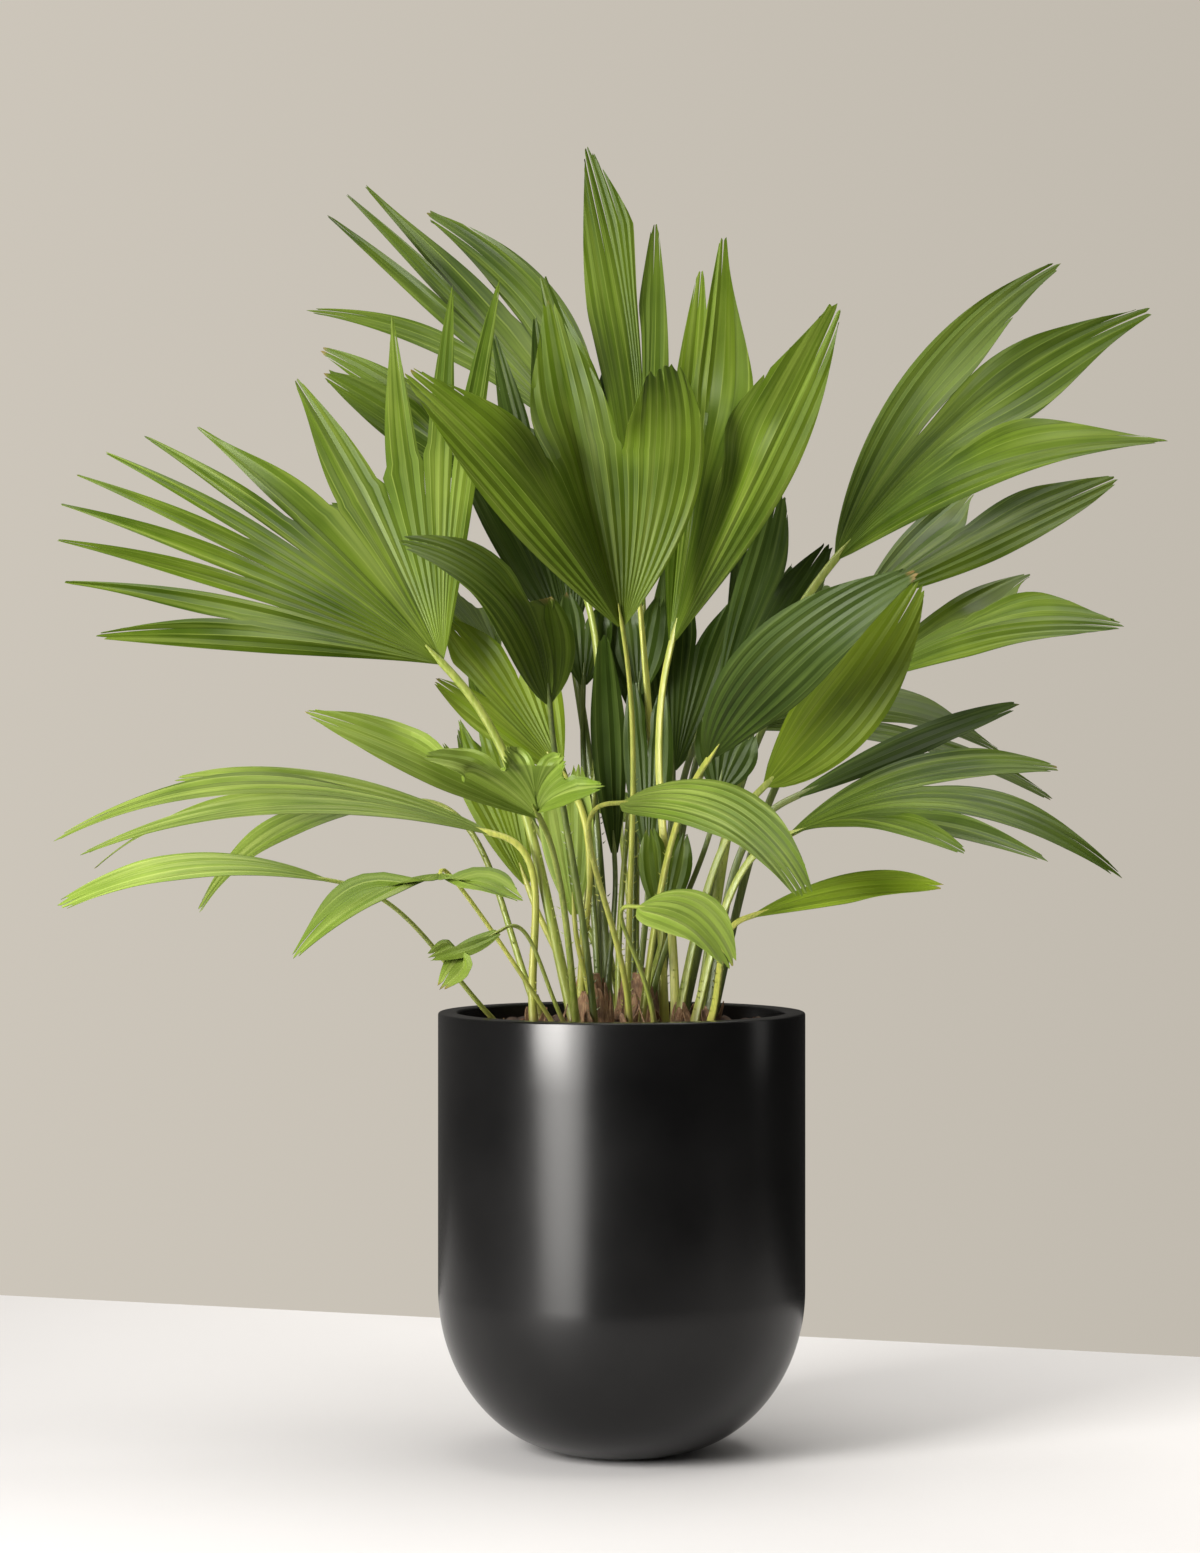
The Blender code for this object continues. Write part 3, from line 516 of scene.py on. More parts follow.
def seen(point):
    # a point of the table at its true place, in metres
    across, depth, height = (0.01 * c for c in point)
    flat = np.array([across, 0.0, height])
    return eyePlace + (flat - eyePlace) * (depth - eyePlace[1]) / -eyePlace[1]


def unit(v):
    return v / np.maximum(np.linalg.norm(v, axis=-1, keepdims=True), 1e-9)


def smoothed(x):
    x = np.clip(x, 0.0, 1.0)
    return x * x * (3 - 2 * x)


# leaf blades

blade = {
    "hubWidth": 0.007,        # the blade's width where it meets its stalk
    "foldWidth": 0.0088,      # one pleat, where the finger is widest
    "rowsWebbed": 14,         # rows of points out to the split, and past it
    "rowsFree": 26,
    "rowPowers": (0.85, 1.35),    # rows stand closer towards the split, and then towards the tip, by these
    "curvePlace": 0.55,       # where along a finger it curves most
    "fullLength": 0.992,      # how far out a finger's tip comes: its folds stay within the solid's reach
    "slit": 0.0030,           # between neighbouring fingers, fully open
    "slitOpens": 0.3,         # how much of the free part it opens over
    "edgeTurns": 0.6,         # and how much a finger's edge takes to turn to the finger's own side,
    "edgeNarrows": 0.95,      # and to come down to the finger's own width
    "leastHalf": 0.0008,
    "latestSplit": 0.22,      # how much later than its place in the table a split may start
    "straightEdge": 0.995,    # above this share of its outermost pleat line an edge counts as lying on it
    "edgeClear": 0.012,       # a line of points ends where it is nearer than this to the edge
    "toothDepth": 0.006,      # the saw-like end of a broad finger
    "splitShare": 0.3,        # how many pleats part near the tip, and where: the middle one, the others,
    "middleSplit": (0.5, 0.75),
    "otherSplits": (0.4, 0.85),
    "narrowSplit": 0.2,       # and how much later on a narrow finger
    "splitWidth": 0.15,
    "cup": 0.07,              # a free finger's hollow, as a share of its width
    "cupRange": (0.4, 1.3),
    "wave": 0.0018,           # waviness of a free finger's edges
    "height": 0.10,           # a pleat's height, as a share of its width, and how much more it is by the hub
    "hubHeight": 1.3,
    "heightRange": (0.65, 1.35),
    "ridgeShift": 0.08,       # how far a ridge may stand off the middle of its pleat
    "halfWayUp": 0.44,        # how high the line between valley and ridge lies, so that the ridge is crisp
    "thickness": 0.00045,
    "seed": 11,
}
foldSteps = (0.0, 0.25, 0.5, 0.75)      # a pleat's lines of points: valley, half-way, ridge, half-way
linesPerFold = len(foldSteps)
leafStep = 97                 # a leaf's pleat coordinate starts at its number times this


def fingerCurve(hub, data, face):
    # the middle line of a finger, with its side and outward directions, for many places along it at once
    tip = seen(data["tip"])
    chord = tip - hub
    length = float(np.linalg.norm(chord))
    along = chord / length
    out = unit(face - along * (face @ along))
    right = np.cross(along, out)
    middle = hub + chord * blade["curvePlace"] + length * (data["arch"] * 2 * out + data["bend"] * 2 * right)

    def at(t):
        t = np.asarray(t, float)[..., None]
        return (1 - t) ** 2 * hub + 2 * t * (1 - t) * middle + t * t * tip

    def frameAt(t):
        t = np.asarray(t, float)[..., None]
        forward = unit(2 * (1 - t) * (middle - hub) + 2 * t * (tip - middle))
        side = unit(np.cross(np.broadcast_to(face, forward.shape), forward))
        return side, np.cross(forward, side)

    return dict(at=at, frame=frameAt, length=length, **data)


def leafBones(leaf):
    # where the leaf starts, which way it faces, its fingers, and the way that they grow between them
    hub = seen(leaf["hub"])
    face = unit(np.array(leaf["face"], float))
    fingers = [fingerCurve(hub, f, face) for f in leaf["lobes"]]
    return hub, face, fingers, unit(sum(unit(f["at"](0.3) - hub) for f in fingers))


def spread(t, widest, blunt):
    # half a finger's width along it, as a share of its greatest
    last = 1 - math.asin(blunt) / math.pi
    power = math.log(0.5 / last) / math.log(widest)
    return np.sin(math.pi * last * np.asarray(t, float) ** power)


def fingerEdge(finger, other, sign, t, start, delay):
    # which way, and how far, the edge lies from the middle line: shared with the neighbour out to the split,
    # and past it easing from there to the finger's own width
    side, _ = finger["frame"](t)
    own = 0.01 * finger["half"] * spread(t, finger["widest"], finger["blunt"])
    if other is None:
        return sign * side, own
    tOther = np.minimum(t * finger["length"] / other["length"], 1.0)
    toMiddle = 0.5 * (other["at"](tOther) - finger["at"](t))
    shared = np.linalg.norm(toMiddle, axis=-1)
    free = (t - start) / (1 - start)
    opened = np.clip((free - delay) / blade["slitOpens"], 0.1, 1.0)
    room = np.maximum(shared - blade["slit"] * opened, blade["leastHalf"])
    extra = max(shared[blade["rowsWebbed"]] - own[blade["rowsWebbed"]], 0.0)
    narrowed = smoothed((free - delay) / (blade["edgeNarrows"] - delay))
    width = np.minimum(room, own + extra * (1 - narrowed))
    width = np.where(free < delay, room, width)
    ease = smoothed(free / blade["edgeTurns"])[:, None]
    way = unit((1 - ease) * unit(toMiddle) + ease * sign * side)
    return np.where(free[:, None] <= 1e-9, unit(toMiddle), way), np.where(free <= 1e-9, shared, width)


def foldLines(width, count):
    # past its widest place a broad finger's pleats stay nearly parallel, and its edge runs out across them:
    # how far the outermost pleat line would be, and the share of it that the edge still leaves
    webbed = blade["rowsWebbed"]
    peak = webbed + 2 + int(np.argmax(width[webbed + 2:-4]))
    narrowing = {1: 1.0, 2: 0.9, 3: 0.7, 4: 0.55}.get(count, 0.42)
    lines = width.copy()
    lines[peak:] = width[peak:] ** narrowing * width[peak] ** (1 - narrowing)
    return lines, np.minimum(width / np.maximum(lines, 1e-6), 1.0)


def pleatMarks(heights, rng):
    # a finger's lines of points, which are valleys, ridges and the lines half-way down between them: where
    # each runs, how far it is raised, and where it would run if the pleats were even
    marks, lifts, nominal = [], [], []
    rises = (0, blade["halfWayUp"], 1.0, blade["halfWayUp"])
    for f, height in enumerate(heights):
        ridge = 0.5 + rng.uniform(-blade["ridgeShift"], blade["ridgeShift"])
        for step, spot, rise in zip(foldSteps, (0, ridge / 2, ridge, (1 + ridge) / 2), rises):
            marks.append(f + spot)
            lifts.append(rise * height - 0.5)
            nominal.append(f + step)
    n = len(heights)
    return [*marks, n], [*lifts, -0.5], [*nominal, n]


def tipSplits(n, rng):
    # the valleys that come apart near the tip, each with the row where it starts to
    opens = {}
    for valley in range(1, n):
        halfWay = valley == round(n / 2)
        if abs(1 - 2 * valley / n) < 0.75 and (halfWay or rng.random() < blade["splitShare"]):
            place = rng.uniform(*blade["middleSplit" if halfWay else "otherSplits"])
            place += blade["narrowSplit"] if n < 3 else 0.0
            opens[linesPerFold * valley] = blade["rowsWebbed"] + int(blade["rowsFree"] * place)
    return opens


def rowEnds(vs, plusLeft, minusLeft):
    # the first and last line of points that a finger still has in each row
    ends = []
    for row, (plus, minus) in enumerate(zip(plusLeft, minusLeft)):
        plusWhole = row <= blade["rowsWebbed"] or plus >= blade["straightEdge"]
        minusWhole = row <= blade["rowsWebbed"] or minus >= blade["straightEdge"]
        fromPlus = [plusWhole or v < plus - blade["edgeClear"] for v in vs]
        fromMinus = [minusWhole or v > blade["edgeClear"] - minus for v in vs]
        ends.append((fromPlus.index(True), len(vs) - 1 - fromMinus[::-1].index(True)))
    return ends


def knit(grid, margins, ends, opens):
    # the faces between a finger's points, row by row, with those along its trimmed edges
    faces = []
    for row, (leftmost, rightmost) in enumerate(ends[:-1]):
        above = row + 1
        low, high = ends[above]
        for j in range(low, high):
            faces.append([grid[row, j][1], grid[row, j + 1][0], grid[above, j + 1][0], grid[above, j][1]])
        if (1, above) in margins:
            cuts = [j for j in range(leftmost, low) if j in opens and row > opens[j]]
            chain = [margins[1, row]] if (1, row) in margins and not cuts else []
            begin = cuts[-1] if cuts else leftmost
            chain.append(grid[row, begin][1 if cuts else 0])
            chain += [grid[row, j][0] for j in range(begin + 1, low + 1)]
            faces.append([*chain, grid[above, low][0], margins[1, above]])
        if (-1, above) in margins:
            cuts = [j for j in range(high + 1, rightmost + 1) if j in opens and row > opens[j]]
            ending = [margins[-1, row]] if (-1, row) in margins and not cuts else []
            end = cuts[0] if cuts else rightmost
            chain = [grid[row, j][1] for j in range(high, end)]
            chain.append(grid[row, end][0 if cuts else 1])
            faces.append([*chain, *ending, margins[-1, above], grid[above, high][1]])
    return faces


def bladeSheet(leaf, rng):
    # the middle sheet of a leaf: points, faces, pleat coordinates, and what raises the pleats
    _, face, fingers, axis = leafBones(leaf)
    reach = leaf["split"] * sum(f["length"] for f in fingers) / len(fingers)
    across = unit(np.cross(axis, face))
    pleats = [max(2, round(2 * 0.01 * f["half"] / blade["foldWidth"])) for f in fingers]
    webbed, free = blade["rowsWebbed"], blade["rowsFree"]
    rows = webbed + free
    inner, outer = blade["rowPowers"]
    radii = reach * (np.arange(webbed + 1) / webbed) ** inner
    outward = 1 - (1 - np.arange(1, free + 1) / free) ** outer
    delays = [rng.uniform(0.0, blade["latestSplit"]) for _ in fingers]
    sheet = dict(points=[], outward=[], lift=[], fold=[], edge=[], faces=[])
    shared = {}
    first = 0
    for k, finger in enumerate(fingers):
        n = pleats[k]
        length = finger["length"]
        start = reach / length
        t = np.concatenate([radii / length, start + (1 - start) * outward])
        before = fingers[k - 1] if k else None
        after = fingers[k + 1] if k + 1 < len(fingers) else None
        plusWay, plusWidth = fingerEdge(finger, before, 1, t, start, delays[k - 1])
        minusWay, minusWidth = fingerEdge(finger, after, -1, t, start, delays[k])
        plusLines, plusLeft = foldLines(plusWidth, n)
        minusLines, minusLeft = foldLines(minusWidth, n)
        width = plusLines + minusLines
        nearHub = np.minimum(t * length / reach, 1.0)
        loose = smoothed((t - start) / (1 - start) / 0.5)
        tall = (1 + blade["hubHeight"] * (1 - nearHub)) * np.minimum(nearHub * 3, 1.0) * width / n
        phase = rng.uniform(0, 6.28)
        hollow = blade["cup"] * rng.uniform(*blade["cupRange"])
        heights = [rng.uniform(*blade["heightRange"]) for _ in range(n)]
        ragged = [rng.uniform(0.0, 1.0) for _ in range(n + 1)]
        marks, lifts, nominal = pleatMarks(heights, rng)
        opens = tipSplits(n, rng)

        def laid(q, end):
            # a line of points from the hub to the finger's end, at pleat coordinate q, one value or one a row
            q = np.broadcast_to(np.asarray(q, float), t.shape)
            v = 1 - 2 * q / n
            tt = np.concatenate([t[:webbed + 1], start + (end - start) * outward])
            side, out = finger["frame"](tt)
            toPlus = np.where(v > 0, plusLines * v, 0)[:, None] * plusWay
            toMinus = np.where(v < 0, -minusLines * v, 0)[:, None] * minusWay
            bow = hollow * width * (v * v - 0.33) + blade["wave"] * np.abs(v) * np.sin(phase + 5 * tt + 2 * v)
            root = across * blade["hubWidth"] * (0.5 - (first + q) / sum(pleats))[:, None]
            place = finger["at"](tt) + (toPlus + toMinus) + out * (bow * loose)[:, None] - root
            rise = np.interp(q, marks, lifts) * tall
            seam = np.stack([first + np.interp(q, marks, nominal), tt * length], 1)
            margin = np.stack([np.abs(v) * loose, (1 - tt) * length], 1)
            return place, out, rise, seam, side, margin

        def kept(line, row, shift=0.0):
            place, out, rise, seam, side, margin = line
            sheet["points"].append(place[row] + side[row] * shift)
            sheet["outward"].append(out[row])
            sheet["lift"].append(rise[row])
            sheet["fold"].append(seam[row])
            sheet["edge"].append(margin[row])
            return len(sheet["points"]) - 1

        vs = [1 - 2 * m / n for m in marks]
        ends = rowEnds(vs, plusLeft, minusLeft)

        # each place holds two points, which differ where the finger has come apart
        grid = {}
        for j, mark in enumerate(marks):
            ridge = 1 - abs((j % linesPerFold) / 2 - 1)
            rough = ragged[min((j + 1) // linesPerFold, n)]
            bite = blade["toothDepth"] / length * ((1 - ridge) * (0.5 + rough) + 0.7 * rough * (n > 2))
            line = laid(mark, blade["fullLength"] - finger["notch"] * abs(vs[j]) * 0.6 - bite)
            for row, (leftmost, rightmost) in enumerate(ends):
                if not leftmost <= j <= rightmost:
                    continue
                place = (row, linesPerFold * first + j)
                if row <= webbed:
                    if place not in shared:
                        shared[place] = kept(line, row)
                    grid[row, j] = (shared[place],) * 2
                elif j in opens and row > opens[j]:
                    gap = blade["splitWidth"] * (row - opens[j]) / (rows - opens[j]) * width[row] / n
                    grid[row, j] = (kept(line, row, gap), kept(line, row, -gap))
                else:
                    grid[row, j] = (kept(line, row),) * 2
        margins = {}
        for sign, left in ((1, plusLeft), (-1, minusLeft)):
            end = blade["fullLength"] - finger["notch"] * 0.5 - 0.4 * blade["toothDepth"] / length
            line = laid((1 - sign * left) / 2 * n, end)
            for row in range(webbed + 1, rows + 1):
                if left[row] < blade["straightEdge"]:
                    margins[sign, row] = kept(line, row)
        sheet["faces"] += knit(grid, margins, ends, opens)
        first += n
    return sheet


def pleatTree():
    # raises the pleats off the flat sheet, gives the blade its thickness and closes its rim
    tree, given, result = newTree("pleats", {"Pleat height": 0.16, "Thickness": 0.0005, "Crease angle": 0.2})
    rise = scaled(tree, stored(tree, "outward", "FLOAT_VECTOR"),
                  times(tree, stored(tree, "lift", "FLOAT"), given["Pleat height"]))
    raised = geo(tree, "SetPosition", {"Geometry": given["Geometry"], "Offset": rise})
    under = scaled(tree, geo(tree, "InputNormal"), times(tree, given["Thickness"], -0.5))
    lowered = geo(tree, "SetPosition", {"Geometry": raised, "Offset": under})
    smooth = thickened(tree, lowered, given["Thickness"])
    sharp = over(tree, geo(tree, "InputMeshEdgeAngle"), given["Crease angle"])
    inputs = {"Geometry": smooth, "Selection": sharp, "Shade Smooth": False}
    return closeTree(tree, geo(tree, "SetShadeSmooth", inputs, domain="EDGE"), given, result)


# a leaf takes the tone that its number stands under. The tones are partly the leaves' own colours and partly
# painted light: the lighter tones partly stand for leaves that catch more light, and the dark tone is partly
# painted shade for the leaves deep in the crown
leafTones = {
    "pale": {
        "slot": "leaf_light",
        "fresh": (0.175, 0.245, 0.034),
        "deep": (0.095, 0.150, 0.015),
        "rib": (0.32, 0.39, 0.10),
        "numbers": (12, 13, 14, 18, 19, 20, 21, 22, 37),
    },
    "fresh": {
        "slot": "leaf_light",
        "fresh": (0.130, 0.190, 0.008),
        "deep": (0.070, 0.118, 0.005),
        "rib": (0.22, 0.28, 0.035),
        "numbers": (11, 17, 30, 33, 34),
    },
    "bright": {
        "slot": "leaf_mid",
        "fresh": (0.102, 0.158, 0.009),
        "deep": (0.045, 0.082, 0.004),
        "rib": (0.21, 0.275, 0.045),
        "numbers": (1, 2, 4, 8, 9),
    },
    "mid": {
        "slot": "leaf_mid",
        "fresh": (0.066, 0.107, 0.005),
        "deep": (0.030, 0.056, 0.003),
        "rib": (0.15, 0.205, 0.03),
        "numbers": (3, 5, 7, 16, 23, 24, 27, 28, 29, 32, 41),
    },
    "dark": {
        "slot": "leaf_dark",
        "fresh": (0.034, 0.060, 0.006),
        "deep": (0.017, 0.033, 0.003),
        "rib": (0.085, 0.125, 0.022),
        "numbers": (6, 10, 15, 25, 26, 31, 35, 36, 38, 39, 40),
    },
}
dryTip = (0.20, 0.135, 0.045)


def leafFinish(name, look):
    material, tree, shader = newFinish(name, look["fresh"], 0.4)
    across, along, _ = parted(tree, addNode(tree, "ShaderNodeUVMap", uv_map="foldMap").outputs["UV"])
    fromRib, fromTip, _ = parted(tree, addNode(tree, "ShaderNodeUVMap", uv_map="edgeMap").outputs["UV"])
    offValley = maths(tree, "PINGPONG", across, 0.5)                # 0 in a valley, 0.5 on a ridge
    lineShare = ramped(tree, fromTip, 0.02, 0.12)                   # no lines where the tip is too narrow

    def drawnOut(crosswise, lengthwise):
        return combined(tree, times(tree, across, crosswise), times(tree, along, lengthwise))

    facetTone = perStep(tree, times(tree, across, 2.0))
    ribTone = perStep(tree, across, 0.37)
    leafTone = perStep(tree, maths(tree, "DIVIDE", across, float(leafStep)))
    veins = noise(tree, drawnOut(9.0, 6.0), 1.0, 2.0)
    streaks = noise(tree, drawnOut(1.9, 4.5), 1.0, 2.0)
    patches = noise(tree, ownPlace(tree), 8.0)
    rib = rgba(look["rib"])
    colour = mixed(tree, ramped(tree, patches, 0.35, 0.65), rgba(look["deep"]), rgba(look["fresh"]))
    colour = mixed(tree, ramped(tree, streaks, 0.48, 0.72, 0.0, 0.55), colour, rib)
    ribs = times(tree, ramped(tree, offValley, 0.44, 0.495, 0.0, 1.0, True), lineShare)
    ribs = times(tree, ribs, ramped(tree, ribTone, 0.0, 1.0, 0.15, 0.85))
    colour = mixed(tree, ribs, colour, rib)
    # painted shade: each pleat's valley is darkened, as if shade fell in the crease
    valleyShade = times(tree, ramped(tree, offValley, 0.0, 0.05, 0.4, 0.0, True), lineShare)
    colour = mixed(tree, valleyShade, colour, rgba(look["deep"], 0.35))
    margin = times(tree, ramped(tree, fromRib, 0.93, 0.985, 0.0, 0.75, True), lineShare)
    colour = mixed(tree, margin, colour, rib)
    # the very tips are dry, some further in than others
    dryness = maths(tree, "MULTIPLY_ADD", patches, -0.055, 0.028)
    dryness = maths(tree, "ADD", fromTip, maths(tree, "MULTIPLY_ADD", ribTone, 0.006, dryness))
    colour = mixed(tree, ramped(tree, dryness, 0.0, 0.009, 0.85, 0.0, True), colour, rgba(dryTip))
    # each side of each pleat, each vein and each leaf is a little lighter or darker than the next
    facets = ramped(tree, facetTone, 0.0, 1.0, 0.84, 1.12)
    shade = maths(tree, "ADD", facets, ramped(tree, veins, 0.3, 0.7, -0.11, 0.11))
    shade = times(tree, shade, ramped(tree, leafTone, 0.0, 1.0, 0.88, 1.12))
    colour = mixed(tree, 1.0, colour, colourOf(tree, shade, shade, shade), "MULTIPLY")
    roughness = ramped(tree, patches, 0.3, 0.7, 0.36, 0.50)
    coat(tree, shader, colour, roughness, veins, times(tree, lineShare, 0.18), 0.0003)
    shader.inputs["Specular IOR Level"].default_value = 0.14
    return material


def growBlades():
    tree = pleatTree()
    for tone, look in leafTones.items():
        whole = dict(points=[], outward=[], lift=[], fold=[], edge=[], faces=[])
        for number in look["numbers"]:
            sheet = bladeSheet(allFronds[number - 1], random.Random(blade["seed"] + number))
            base = len(whole["points"])
            sheet["fold"] = [(u + leafStep * number, w) for u, w in sheet["fold"]]
            sheet["faces"] = [[base + i for i in corners] for corners in sheet["faces"]]
            for key, values in sheet.items():
                whole[key] += values
        mesh = bpy.data.meshes.new("sheets_" + tone)
        mesh.from_pydata([tuple(p) for p in whole["points"]], [], whole["faces"])
        lift = np.array(whole["lift"], np.float32)
        mesh.attributes.new("lift", "FLOAT", "POINT").data.foreach_set("value", lift)
        directions = np.array(whole["outward"], np.float32).ravel()
        mesh.attributes.new("outward", "FLOAT_VECTOR", "POINT").data.foreach_set("vector", directions)
        corner = np.zeros(len(mesh.loops), np.int32)
        mesh.loops.foreach_get("vertex_index", corner)
        for name, key in (("foldMap", "fold"), ("edgeMap", "edge")):
            places = np.array(whole[key], np.float32)[corner]
            mesh.uv_layers.new(name=name).data.foreach_set("uv", places.ravel())
        sizes = {
            "Pleat height": blade["height"],
            "Thickness": blade["thickness"],
            "Finish": leafFinish(f"leaf green, {tone}", look),
        }
        piece = grown(shown("sheets_" + tone, mesh), tree, sizes, f"blades_{tone}")
        for spare in ("lift", "outward"):
            piece.data.attributes.remove(piece.data.attributes[spare])
        settle(piece, look["slot"], *[solidOf("frond", number) for number in look["numbers"]])
        print(f"{piece.name}: {len(look['numbers'])} leaves, {triangles(piece)} triangles")


# leaf stalks

stalk = {
    "soilTop": 0.4133,        # where a stalk stands
    "sunk": 0.006,            # how far its foot goes into the mix
    "upright": 0.008,
    "last": 0.012,
    "handles": (0.42, 0.32),  # how far the curve's handles reach, as shares of its span
    "points": 44,
    "intoBlade": 0.022,       # the tapering rib that runs on under the blade
    "ribEnd": 0.25,           # its last radius, as a share of the stalk's there
    "flare": 0.35,            # how much thicker the foot is
    "groove": 0.35,           # depth of the channel on its inner side, as a share of its radius
    "thornStep": 0.0085,
    "thornLength": 0.0042,
    "thornShare": 0.55,
    "thornsFrom": 0.0031,     # the least radius of a stalk that carries thorns
    "thornSizes": (0.55, 1.15),
    "thornSlip": 0.003,       # how far a thorn may stand off its even place
    "thornLean": 0.75,        # how much it leans towards the blade
    "seed": 5,
}
# the stalks' tones are partly their own colours and partly painted light: the yellow tone partly stands for
# stalks in the light, and the deep tone is partly painted shade for the stalks inside the crown
stalkTones = {
    "yellow": {
        "base": (0.43, 0.43, 0.085),
        "streak": (0.22, 0.28, 0.035),
        "numbers": (1, 2, 3, 10, 12, 17, 18, 21, 33, 34, 37),
    },
    "green": {
        "base": (0.20, 0.255, 0.035),
        "streak": (0.33, 0.36, 0.075),
        "numbers": (4, 7, 11, 13, 14, 16, 19, 20, 22, 23, 24, 27, 28, 29, 30, 32, 41),
    },
    "deep": {
        "base": (0.075, 0.11, 0.02),
        "streak": (0.16, 0.19, 0.04),
        "numbers": (5, 6, 8, 9, 15, 25, 26, 31, 35, 36, 38, 39, 40),
    },
}
earthStain = (0.11, 0.055, 0.025)


def stalkRoute(leaf):
    # the places and radii of a stalk's points, from the soil to under the blade
    hub, _, _, axis = leafBones(leaf)
    foot = np.array([0.01 * leaf["foot"][0], 0.01 * leaf["foot"][1], stalk["soilTop"]])
    root = foot + np.array([0, 0, stalk["upright"]])
    neck = hub - axis * stalk["last"]
    span = np.linalg.norm(neck - root)
    aim = unit((1 - leaf["upright"]) * unit(neck - root) + np.array([0, 0, leaf["upright"]]))
    a = root + aim * span * stalk["handles"][0]
    b = neck - axis * span * stalk["handles"][1]
    t = np.linspace(0, 1, stalk["points"])[:, None]
    curve = (1 - t) ** 3 * root + 3 * t * (1 - t) ** 2 * a + 3 * t * t * (1 - t) * b + t**3 * neck
    places = np.vstack([foot - [0, 0, stalk["sunk"]], foot, curve, hub, hub + axis * stalk["intoBlade"]])
    atFoot, atHub = (0.01 * r for r in leaf["stalk"])
    share = np.linspace(0, 1, len(places) - 1)
    radii = (atFoot + (atHub - atFoot) * share) * (1 + stalk["flare"] * np.exp(-share / 0.05))
    return places, np.append(radii, atHub * stalk["ribEnd"])


def thornRow(tree, given, curve, spine, number):
    # thorns along one edge of each stalk, row 0 on one side and row 1 on the other
    kept = addNode(tree, "GeometryNodeCaptureAttribute", {0: curve}, domain="POINT")
    for position, (name, value) in enumerate((("Radius", "InputRadius"), ("Share", "SplineParameter")), 1):
        kept.capture_items.new("FLOAT", name)
        tree.links.new(geo(tree, value), kept.inputs[position])
    radius, share = kept.outputs[1], kept.outputs[2]
    inputs = {"Curve": kept.outputs[0], "Length": given["Thorn step"]}
    spots = addNode(tree, "GeometryNodeCurveToPoints", inputs, mode="LENGTH").outputs
    chance, resize, shift = (maths(tree, "ADD", given["Seed"], start + number) for start in (0.0, 10.0, 20.0))
    aside = vectorMaths(tree, "CROSS_PRODUCT", spots["Tangent"], spots["Normal"])
    aside = scaled(tree, aside, 1.0 - 2.0 * number)
    atEdge = scaled(tree, aside, times(tree, radius, 0.93))
    slip = scaled(tree, spots["Tangent"], rolled(tree, -stalk["thornSlip"], stalk["thornSlip"], shift))
    inputs = {"Geometry": spots["Points"], "Offset": vectorMaths(tree, "ADD", atEdge, slip)}
    moved = geo(tree, "SetPosition", inputs)
    inputs = {"Probability": given["Thorn share"], "Seed": chance}
    chosen = addNode(tree, "FunctionNodeRandomValue", inputs, data_type="BOOLEAN").outputs[3]
    for condition in (over(tree, given["Thorn reach"], share), over(tree, radius, stalk["thornsFrom"])):
        chosen = addNode(tree, "FunctionNodeBooleanMath", {0: chosen, 1: condition}).outputs[0]
    lean = vectorMaths(tree, "ADD", aside, scaled(tree, spots["Tangent"], stalk["thornLean"]))
    size = times(tree, rolled(tree, *stalk["thornSizes"], resize), given["Thorn length"])
    return geo(tree, "InstanceOnPoints", {
        "Points": moved,
        "Selection": chosen,
        "Instance": spine,
        "Rotation": addNode(tree, "FunctionNodeAlignRotationToVector", {"Vector": lean}, axis="Z").outputs[0],
        "Scale": combined(tree, size, size, size),
    })


def stalkTree():
    # sweeps a grooved section along each stalk and sets thorns along both of its edges
    thornSizes = {"Thorn step": 0.01, "Thorn length": 0.004, "Thorn share": 0.5, "Thorn reach": 0.6}
    tree, given, result = newTree("stalks", {"Groove": 0.35, **thornSizes, "Seed": 5})
    tangent = geo(tree, "InputTangent")
    inward = vectorMaths(tree, "MULTIPLY", geo(tree, "InputPosition"), (-1.0, -1.0, 0.0))
    inward = vectorMaths(tree, "ADD", inward, (0.001, 0.002, 0.03))
    sideways = vectorMaths(tree, "CROSS_PRODUCT", tangent, inward)
    normal = vectorMaths(tree, "NORMALIZE", vectorMaths(tree, "CROSS_PRODUCT", sideways, tangent))
    turned = geo(tree, "SetCurveNormal", {"Curve": given["Geometry"], "Normal": normal}, mode="FREE")
    circle = geo(tree, "CurvePrimitiveCircle", {"Resolution": 14, "Radius": 1.0}, mode="RADIUS")
    # the section's own +Y side faces inward: press it in towards its middle
    x, y, _ = parted(tree, geo(tree, "InputPosition"))
    press = times(tree, ramped(tree, y, 0.35, 1.0, 0.0, 1.0, True), given["Groove"])
    dented = combined(tree, x, maths(tree, "SUBTRACT", times(tree, y, 0.86), press))
    inputs = {
        "Curve": turned,
        "Profile Curve": geo(tree, "SetPosition", {"Geometry": circle, "Position": dented}),
        "Scale": geo(tree, "InputRadius"),
        "Fill Caps": True,
    }
    stems = smoothShaded(tree, geo(tree, "CurveToMesh", inputs))
    inputs = {"Vertices": 5, "Side Segments": 1, "Fill Segments": 1}
    spine = geo(tree, "MeshCone", {**inputs, "Radius Top": 0.0001, "Radius Bottom": 0.16, "Depth": 1.0})
    thorns = [thornRow(tree, given, turned, spine, number) for number in (0, 1)]
    return closeTree(tree, joined(tree, stems, *thorns), given, result)


